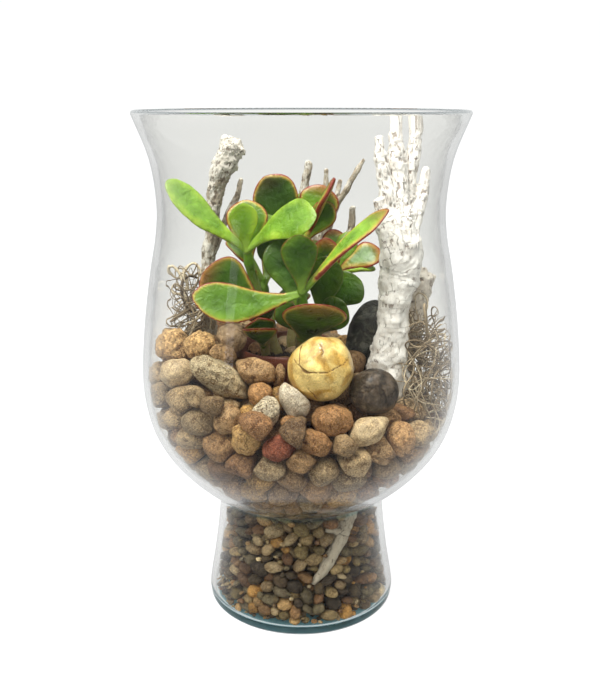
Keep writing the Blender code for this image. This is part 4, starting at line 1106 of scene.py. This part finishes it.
def driftwood(name, limbs, fineness, seed, chalk_from, smooth_between):
    """Limbs grown together and weathered: lumps, fissures along the grain, and pits.
    Chalk covers the wood above a height, and between two heights it is worn smooth."""
    lines = [smooth_line(limb, LIMB_STEPS) for limb in limbs]
    points, faces, _ = gather([(*tube(line, LIMB_SIDES), {}) for line in lines])
    piece = object_from(name, points, faces)
    skin = piece.modifiers.new("skin", "REMESH")
    skin.mode = "VOXEL"
    skin.voxel_size = fineness * MM
    settled(piece)
    spots, out = points_of(piece), points_of(piece, "normal")
    marks = np.vstack([line[:, :3] for line in lines])
    courses = np.vstack([unit(np.gradient(line[:, :3], axis=0)) for line in lines])
    sizes = np.concatenate([line[:, 3] for line in lines])
    search = kdtree.KDTree(len(marks))
    for k, mark in enumerate(marks):
        search.insert(mark, k)
    search.balance()
    near = np.array([search.find(spot)[1] for spot in spots])
    along = (spots * courses[near]).sum(1)[:, None] * courses[near]
    grain = spots - along * 0.86
    shift = (seed * 7.3, seed * 3.9, 0)
    size = np.clip(sizes[near] / 8, 0.3, 1.1)
    lumps, knobs = rippled(spots, 0.12, shift), rippled(spots, 0.3, shift)
    flutes, fine = np.abs(rippled(grain, 0.24, shift)), rippled(grain, 1.1, shift)
    ridges, narrow = (1 - 2 * np.abs(rippled(grain, pitch, shift)) for pitch in (0.42, 0.95))
    low, high = smooth_between
    rough = 1 - 0.85 * np.clip((spots[:, 2] - low) / 8, 0, 1) * np.clip((high - spots[:, 2]) / 8, 0, 1)
    fissure = np.clip((ridges - 0.74) / 0.24, 0, 1) * np.clip(lumps * 4 + 0.6, 0, 1)
    crack = 0.7 * np.clip((narrow - 0.78) / 0.2, 0, 1) * np.clip(knobs * 3 + 0.5, 0, 1)
    fissure = np.clip(fissure + crack, 0, 1) * rough
    holes = np.clip((knobs - 0.34) / 0.2, 0, 1) * rough
    lift = lumps * 1.8 * size + knobs * 0.5 * size + (flutes - 0.2) * 2.2 * size * (0.4 + 0.6 * rough)
    lift = lift - fissure * 0.95 * size - holes * 0.8 * size + fine * 0.3 * rough
    move_points(piece, spots + out * lift[:, None])
    store(piece.data, "wood_grain", grain)
    store(piece.data, "hollow", np.clip(fissure + holes * 0.8, 0, 1))
    store(piece.data, "chalk", np.clip((spots[:, 2] - chalk_from) / 10, 0, 1))
    piece.data.shade_smooth()
    piece.data.update()
    return piece


def all_driftwood():
    """Every piece of driftwood in its finish; each piece's number seeds its lumps."""
    finishes = {name: wood_finish(name + "_driftwood", *look) for name, look in WOOD_FINISHES.items()}
    made = []
    for number, (name, settings) in enumerate(DRIFTWOOD.items(), 1):
        finish, slot, fineness, chalk_from, smooth_between, limbs = settings
        piece = driftwood(name + "_wood", limbs, fineness, number, chalk_from, smooth_between)
        made.append(show(piece, finishes[finish], slot, name))
    return made


# Leafy stems
LEAF_THICKNESS = 4.2
PETIOLE_SHARE = 0.22
LEAF_RINGS = 30
LEAF_SIDES = 26
STEM_SIDES = 20
# Each stem: its path of (x, y, z, radius), then its leaves: base, tip, facing, width,
# arch, how bright its green is from 0 to 1, and how red its rim
LEAFY_STEMS = {
    "leafy_stem_left": (
        ((-12, -4, 150, 3), (-20, -6, 178, 2.8), (-28, -9, 205, 2.6), (-31.5, -12, 223, 2.5)),
        (
            ((-31, -11, 222), (-75, -18, 262), (0.35, -0.6, 0.75), 21, -2, 0.85, 0.12),
            ((-31, -12, 222), (9, -34, 245), (-0.1, -0.75, 0.65), 25, 5, 0.72, 0.05),
            ((-31, -13, 221), (-33, -16, 250), (0.1, -1, 0.1), 16, 0, 0.85, 0.1),
            ((-30, -9, 214), (-32, 2, 250), (0.05, -1, 0.15), 24, 0, 0.6, 0.8),
        ),
    ),
    "leafy_stem_front": (
        ((-1, -10, 150, 3.2), (0, -18, 170, 3), (0.5, -28, 188, 2.8), (0.5, -36, 204, 2.6)),
        (
            ((0.5, -36, 202), (-1.6, -41, 236), (0, -1, 0.12), 20, 0, 0.36, 0.3),
            ((0.5, -29, 191), (-12, -19, 231), (0.05, -1, 0.25), 27, 0, 0.26, 0.1),
            ((0.5, -35, 202), (47.5, -36, 248), (-0.68, -0.4, 0.6), 15, 3, 0.8, 1.0),
            ((0, -35, 202), (-58, -50, 203), (0, -0.9, 0.5), 23, -5, 0.58, 0.75),
            ((0.5, -19, 171), (10, -54, 200), (0, 0.6, 0.8), 36, -2, 0.24, 0.9),
            ((0, -21, 175), (-13, -27, 194), (0, -0.9, 0.4), 14, 0, 0.25, 0.2),
        ),
    ),
    "leafy_stem_middle": (
        ((-6, 3, 150, 3), (-4, 6, 190, 2.8), (0, 9, 215, 2.6), (3, 9, 228, 2.4)),
        (
            ((1, 9, 224), (-22, 8, 262), (-0.05, -1, 0.1), 27, 0, 0.16, 0.8),
            ((3, 9, 225), (13.5, 11, 257), (-0.1, -1, 0.15), 24, 0, 0.8, 1.1),
            ((2, 9, 224), (18, 3, 248), (-0.35, -1, 0.1), 16, 0, 0.35, 0.6),
            ((3, 8, 226), (19.5, -2, 262), (-0.87, 0, 0.5), 15, 2, 0.6, 2.6),
            ((0, 8, 223), (-25, 6, 242), (0.3, -0.9, 0.4), 14, 2, 0.6, 1.6),
            ((-1.5, 8, 206), (-24, 2, 228), (0.2, -1, 0.2), 20, 0, 0.18, 0.1),
            ((1, 10, 222), (4, 34, 250), (0, -0.6, 0.8), 22, 3, 0.45, 0.5),
            ((-1.5, 8, 208), (-26, 31, 228), (0.3, -0.5, 0.9), 22, 3, 0.4, 0.5),
            ((-2, 8, 202), (12, 33, 220), (0, -0.4, 1), 22, 3, 0.4, 0.5),
        ),
    ),
    "leafy_stem_right": (
        ((6, 0, 150, 3), (11, -2, 178, 2.8), (17, -1, 198, 2.6), (21, 0, 208, 2.4)),
        (
            ((20, 0, 206), (47, 0, 220), (-0.2, -0.8, 0.6), 17, 2, 0.5, 1.8),
            ((20, -1, 206), (44, 2, 209), (0, -0.12, 1), 15, 2, 0.8, 0.1),
            ((15, -2, 193), (14, -7, 229), (0, -1, 0.15), 17, 0, 0.45, 1.6),
            ((20, 0, 206), (19, 12, 231), (0.1, -1, 0.2), 15, 0, 0.5, 1.8),
            ((20, 0, 206), (30, 8, 230), (-0.2, -1, 0.3), 13, 0, 0.65, 0.2),
            ((13, -2, 184), (35, -9, 204), (-0.1, -0.9, 0.4), 22, 2, 0.25, 0.1),
            ((11, -2, 178), (15, -17, 220), (-0.05, -1, 0.2), 21, 0, 0.38, 0.1),
            ((9, -1, 170), (25, -19, 193), (-0.1, -1, 0.4), 20, 0, 0.25, 0.1),
            ((17, -1, 198), (38, 26, 214), (-0.3, -0.4, 1), 22, 3, 0.45, 0.5),
        ),
    ),
    "leafy_stem_low": (
        ((-19, -9, 150, 2.8), (-22, -13, 168, 2.6), (-22, -18, 184, 2.4), (-21, -20, 193, 2.2)),
        (
            ((-21, -19, 189), (-55, -28, 212), (0, -1, 0.3), 32, 1, 0.4, 1.0),
            ((-22, -13, 166), (-24, -38, 182), (0, 0.55, 0.84), 20, 1, 0.35, 0.9),
            ((-22, -14, 170), (-24, -28, 186), (0, -0.9, 0.4), 18, 0, 0.3, 0.6),
            ((-22, -16, 176), (-24, -28, 199), (0, -1, 0.3), 19, 0, 0.25, 0.2),
            ((-22, -15, 176), (-52, -2, 198), (0.3, -0.4, 1), 21, 3, 0.4, 0.5),
        ),
    ),
    "leafy_stem_back": (
        ((-16, 8, 150, 2.8), (-20, 16, 180, 2.6), (-24, 20, 200, 2.2)),
        (
            ((-24, 20, 198), (-46, 26, 222), (0.4, -0.2, 1), 22, 3, 0.45, 0.5),
            ((-23, 19, 196), (-12, 44, 214), (0, -0.5, 1), 22, 3, 0.5, 0.5),
            ((-20, 16, 180), (-38, 38, 190), (0.2, -0.2, 1), 22, 3, 0.4, 0.5),
            ((-19, 14, 174), (2, 36, 188), (-0.1, -0.3, 1), 22, 3, 0.4, 0.5),
        ),
    ),
}


def leaf_half_width(share, width):
    """Half the width of a leaf at a share of its length: narrow foot, round tip."""
    blade = np.sin(np.pi * share**2.1) ** 0.6
    return width / 2 * np.hypot(blade, PETIOLE_SHARE * (1 - share))


def leaf_form(base, tip, facing, width, arch, tone, blush, draw):
    """A thick spoon-shaped leaf: a lens across with a blunt rim, cupped and a little wavy."""
    base, tip = np.array(base, float), np.array(tip, float)
    along = tip - base
    across = unit(np.cross(facing, along))
    face = unit(np.cross(along, across))
    steps = np.arange(LEAF_RINGS) / LEAF_RINGS
    share = (0.3 * steps + 0.7 * (1 - (1 - steps) ** 2))[:, None]
    angle = (2 * np.pi * np.arange(LEAF_SIDES) / LEAF_SIDES)[None]
    depth = LEAF_THICKNESS / 2 * np.sqrt(1 - share**5)
    out = leaf_half_width(share, width) * np.cos(angle)
    edge = np.cos(angle) ** 2
    lens = np.sign(np.sin(angle)) * np.abs(np.sin(angle)) ** 1.15
    lift = depth * lens + 0.08 * np.abs(out) + draw.uniform(0, 0.5) * edge
    wave = np.sin(draw.uniform(8, 12) * share + draw.uniform(0, FULL_TURN))
    lift = lift + 0.55 * edge * wave * np.minimum(share * 2, 1)
    groove = np.exp(-((out / 1.5) ** 2)) * (np.sin(angle) > 0) * np.clip(1 - share * 1.1, 0, 1)
    lift = lift - 0.45 * groove * np.minimum(share * 8, 1)
    lift = lift + draw.uniform(-1.0, 1.0) * share**3
    raised = np.array([0, 0, 1]) * (arch * 4 * share * (1 - share))[..., None]
    middle = base + along * share[..., None] + raised
    rings = middle + across * out[..., None] + face * lift[..., None]
    points = np.vstack([[base], rings.reshape(-1, 3), [tip + face * lift[-1].mean()]])
    length = np.linalg.norm(along)
    flat = np.stack([out, share * length + 0 * out], -1).reshape(-1, 2)
    line = np.linspace(0.15, 1, 90)
    outline = np.stack([leaf_half_width(line, width), line * length], -1)
    far = np.sqrt(((np.abs(flat) - outline[:, None]) ** 2).sum(-1)).min(0)
    course = np.stack([out * 1.6, share * length * 0.12 + 0 * out, 0 * out], -1).reshape(-1, 3)
    count = len(points)
    values = {
        "rim_away": np.concatenate([[6.0], np.minimum(far, 12), [0.0]]),
        "leaf_along": np.concatenate([[0.0], (share + 0 * out).ravel(), [1.0]]),
        "leaf_tone": np.full(count, tone), "leaf_blush": np.full(count, blush), "leaf_bark": np.zeros(count),
        "leaf_course": np.vstack([course[:1], course, course[-1:]]) + draw.uniform(0, 50, 3),
    }
    return points, tube_faces(LEAF_RINGS, LEAF_SIDES), values


def stem_form(path, draw):
    """A fleshy stem with a swollen ring at each leaf joint."""
    line = smooth_line(path, 16)
    nodes = np.abs(np.sin(np.linspace(0, 4.2 * np.pi, len(line)))) ** 6
    line[:, 3] *= 1.0 + 0.22 * nodes
    points, faces = tube(line, STEM_SIDES)
    points = points + draw.normal(0, 0.05, points.shape)
    count = len(points)
    height = np.concatenate([[0.0], np.repeat(np.linspace(0, 1, len(line)), STEM_SIDES), [1.0]])
    values = {
        "rim_away": np.full(count, 9.0), "leaf_along": height, "leaf_tone": np.full(count, 0.7),
        "leaf_blush": np.zeros(count), "leaf_bark": 1.0 - 0.75 * height, "leaf_course": points,
    }
    return points, faces, values


def leaf_finish():
    """Waxy leaf skin: its own green, a red rim with an orange glow within, and bark below."""
    tree = new_material(
        "succulent_leaf", Roughness=0.32, Specular_IOR_Level=0.35, Coat_Weight=0.3, Coat_Roughness=0.22,
        Subsurface_Weight=0.1, Subsurface_Scale=0.002, Subsurface_Radius=(0.6, 1.0, 0.25),
    )
    place = tree.place()
    tone, blush, rim, along, bark = (
        tree.value(name) for name in ("leaf_tone", "leaf_blush", "rim_away", "leaf_along", "leaf_bark")
    )
    clouds = place.noise(0.09, 3, 0.5)
    green = (tone + (clouds - 0.5) * 0.9).ramp(
        (0.0, (0.012, 0.031, 0.003)), (0.3, (0.037, 0.095, 0.004)), (0.6, (0.092, 0.205, 0.009)),
        (0.85, (0.175, 0.345, 0.02)), (1.0, (0.28, 0.46, 0.045)),
    )
    green = (rim.eased(6.0, 0.8) * 0.4).mix(green, green * (2.2, 1.55, 1.0))
    veins = tree.value("leaf_course", "Vector").noise(0.5, 3, 0.6)
    green = veins.eased(0.5, 0.75, 0.0, 0.3).mix(green, green * (0.6, 0.66, 0.6))
    green = (along.eased(0.38, 0.08) * 0.55).mix(green, (0.3, 0.46, 0.06))
    dots = tree.use(PITS, place, 1.5, 0.3, 0.5)[0]
    green = (dots * 0.25).mix(green, (0.3, 0.46, 0.1))
    ragged = (place.noise(0.5, 3) - 0.5) * 1.6 + rim
    width = blush * 0.95 + 0.4
    glow = ragged.eased(width * 0.5, width * 2.1, 1.0, 0.0) * blush.eased(0.15, 0.9, 0.0, 0.8)
    skin = glow.mix(green, (0.55, 0.36, 0.06))
    near_tip = along.eased(0.72, 1.0) * blush.eased(0.7, 1.1, 0.0, 0.75)
    line = ragged.eased(width * 0.25, width * 0.85, 1.0, 0.0).or_more(near_tip)
    skin = (line * blush.eased(0.0, 0.5, 0.1, 0.95)).mix(skin, (0.22, 0.014, 0.01))
    woody = place.noise(0.5, 4, 0.65).mix((0.16, 0.13, 0.04), (0.34, 0.3, 0.12))
    ripples = place.noise(0.22, 2, 0.5, 0.6).bump(1.1)
    return tree.give(
        Base_Color=bark.eased(0.35, 0.8).mix(skin, woody), Roughness=clouds.eased(0.3, 0.7, 0.26, 0.42),
        Normal=place.noise(1.8, 3, 0.6).bump(0.17, Normal=ripples),
    )


def leafy_stems():
    draw = np.random.default_rng(6)
    material = leaf_finish()
    made = []
    for name, (path, leaves) in LEAFY_STEMS.items():
        points, faces, values = gather([stem_form(path, draw)] + [leaf_form(*leaf, draw) for leaf in leaves])
        piece = object_from(name + "_leaves", points, faces, values=values)
        made.append(show(piece, material, "succulent_leaf", name))
    return made


# Curly vine tufts: centre, half sizes, strands, seed
VINE_TUFTS = {
    "vine_tuft_right": ((72, -12, 143), (16, 33, 48), 116, 3),
    "vine_tuft_left": ((-68, 12, 184), (14, 20, 23), 30, 8),
}
STRAND_STEP = 1.35
STRAND_STEPS = 68
STRAND_SIDES = 4


def vine_finish():
    """Dried vine: grey-brown, paler on some strands, with fine lengthways grain."""
    tree = new_material("dried_vine", Roughness=0.8)
    place = tree.place()
    base = tree.value("strand_tint").ramp(
        (0.0, (0.1, 0.062, 0.028)), (0.5, (0.31, 0.23, 0.13)), (1.0, (0.7, 0.58, 0.39))
    )
    mottle = place.noise(0.6, 4, 0.7).eased(0.4, 0.7)
    return tree.give(
        Base_Color=(mottle * 0.35).mix(base, (0.12, 0.08, 0.045)),
        Roughness=mottle.eased(0.0, 1.0, 0.7, 0.9), Normal=place.noise(2.5, 3).bump(0.15),
    )


def vine_tuft(name, centre, half_sizes, count, seed, material):
    """A tangle of thin curly strands that keeps to its part of the vase."""
    draw = np.random.default_rng(seed)
    spots = unit(draw.normal(size=(count, 3))) * draw.uniform(0.1, 1, (count, 1)) ** 0.5 * half_sizes + centre
    headings = unit(draw.normal(size=(count, 3)))
    axes = unit(draw.normal(size=(count, 3)))
    bend = draw.uniform(0.03, 0.17, (count, 1))
    phase = draw.uniform(0, FULL_TURN, (count, 1))
    trail = []
    for step in range(STRAND_STEPS):
        trail.append(spots)
        turn = bend * (1 + 0.9 * np.sin(phase + step * 0.13))
        headings = unit(headings + np.cross(axes, headings) * turn)
        out = (spots - centre) / half_sizes
        astray = np.maximum(np.linalg.norm(out, axis=1, keepdims=True) - 0.85, 0)
        headings = unit(headings - out * astray * 0.9)
        axes = unit(axes + draw.normal(0, 0.13, (count, 3)))
        spots = kept_in_glass(spots + headings * STRAND_STEP, 0.9)
    lines = np.stack(trail, axis=1)
    thick = draw.choice((0.28, 0.38, 0.5, 0.9), count, p=(0.32, 0.34, 0.22, 0.12))
    taper = np.minimum(np.linspace(0.4, 8, STRAND_STEPS), 1)
    taper = taper * np.minimum(np.linspace(8, 0.3, STRAND_STEPS), 1)
    starts = np.arange(count)[:, None] * STRAND_STEPS
    edges = np.stack([starts + np.arange(STRAND_STEPS - 1), starts + np.arange(1, STRAND_STEPS)], -1)
    tint = np.clip(draw.normal(0.5, 0.22, count) + (thick > 0.6) * 0.3, 0, 1)
    values = {
        "thickness": (thick[:, None] * taper * MM).ravel(), "strand_tint": np.repeat(tint, STRAND_STEPS),
    }
    piece = object_from(name + "_strands", lines.reshape(-1, 3), edges=edges.reshape(-1, 2), values=values)
    grown(piece, STRAND_TREE, sides=STRAND_SIDES, material=material)
    piece.data.shade_smooth()
    show(piece, None, "dried_vine", name)


# Studio
FLOOR_RADIUS = 40000
# Each light: place in metres, width, height, power in watts
LIGHTS = {
    "key_light": ((-0.7, -0.9, 1.5), 0.8, 0.8, 20),
    "over_light": ((-0.17, -0.33, 1.4), 0.38, 0.38, 15),
    "top_light": ((0.35, 0.25, 1.5), 0.7, 0.7, 8),
    "left_strip": ((-0.8, -0.7, 0.24), 0.12, 0.34, 0.9),
}
LIT_SPOT = (0, 0, 0.16)


def grey(level):
    return (level, level, level)


def mirrored(path, seen, by_glass, by_piece):
    """What shows of the room: as it is, as the glass mirrors it, and as a shiny piece
    behind the glass does, which sees a darker room."""
    within = path["Transmission Depth"] > 2.5
    return (path["Glossy Depth"] > 0.5).mix(seen, within.mix(by_glass, by_piece))


def make_floor():
    """A pale floor, which glows enough to look as white as the room."""
    floor = object_from("floor", *turned([(0, -2), (FLOOR_RADIUS, -2), (FLOOR_RADIUS, 0), (0, 0)], 64))
    tree = new_material("floor_paper", Roughness=0.9, Specular_IOR_Level=0.0, Emission_Strength=1.0)
    path = tree.outputs("ShaderNodeLightPath")
    paper = tree.place().noise(0.05, 3).mix(grey(0.24), grey(0.26))
    paper = path["Is Diffuse Ray"].mix(paper, grey(0.42))
    glow = path["Is Diffuse Ray"].mix(grey(0.84), grey(0))
    floor.data.materials.append(tree.give(
        Base_Color=mirrored(path, paper, grey(0.16), grey(0.1)),
        Emission_Color=mirrored(path, glow, grey(0.56), grey(0.03)),
    ))


def make_room():
    """A white room, darker near the floor for what it lights and for shiny pieces."""
    world = bpy.data.worlds.new("white_room")
    world.use_nodes = True
    tree = Tree(world.node_tree)
    path = tree.outputs("ShaderNodeLightPath")
    up = tree.node("ShaderNodeSeparateXYZ", {0: tree.node("ShaderNodeTexCoord", None, "Generated")}, "Z")
    seen = path["Is Diffuse Ray"].mix(grey(0.955), up.ramp((0.0, grey(0.5)), (0.6, grey(1))))
    dim = up.ramp((0.0, grey(0.1)), (0.45, grey(0.14)), (0.8, grey(0.9)))
    background = world.node_tree.nodes["Background"]
    tree.feed(background.inputs["Color"], mirrored(path, seen, (0.8, 0.81, 0.81), dim))
    tree.feed(background.inputs["Strength"], 1.07)
    bpy.context.scene.world = world


def make_lights(glass):
    """Soft lights from above, whose mirror images are kept out of the glass where they
    are large, and a strip that is seen only in the glass's outer face, as a soft streak."""
    kept_off = bpy.data.collections.new("kept_off_glass")
    kept_off.objects.link(glass)
    kept_off.collection_objects[0].light_linking.link_state = "EXCLUDE"
    for name, (place, width, height, power) in LIGHTS.items():
        data = bpy.data.lights.new(name, "AREA")
        data.shape = "RECTANGLE"
        data.size, data.size_y = width, height
        data.energy = power
        lamp = linked(bpy.data.objects.new(name, data))
        lamp.location = place
        lamp.rotation_euler = (Vector(LIT_SPOT) - Vector(place)).to_track_quat("-Z", "Y").to_euler()
        lamp.visible_glossy = name != "top_light"
        if name in ("key_light", "over_light"):
            lamp.light_linking.receiver_collection = kept_off
        if name == "left_strip":
            data.use_nodes = True
            tree = Tree(data.node_tree)
            seen = tree.outputs("ShaderNodeLightPath")["Transmission Depth"] < 0.5
            tree.feed(tree.nodes["Emission"].inputs["Strength"], seen)


def make_camera():
    """The photograph's view."""
    data = bpy.data.cameras.new("camera")
    data.lens = 46.95
    data.sensor_width = 36
    camera = linked(bpy.data.objects.new("camera", data))
    camera.location = (0, -0.531, 0.307)
    camera.rotation_euler = (math.radians(74.5), 0, math.radians(0.08))
    bpy.context.scene.camera = camera


def make_arrangement():
    """Every piece, those that stand first, then the stones that lie against them."""
    make_lights(make_vase())
    pot = make_pot()
    make_soil()
    stems = leafy_stems()
    woods = all_driftwood()
    stones = shown_stones([pot, *woods, *stems])
    bed_stones([pot, *woods, *stems, *stones])
    foot_gravel(woods[-1:])
    vine = vine_finish()
    for name, shape in VINE_TUFTS.items():
        vine_tuft(name, *shape, vine)


make_floor()
make_room()
make_camera()
make_arrangement()
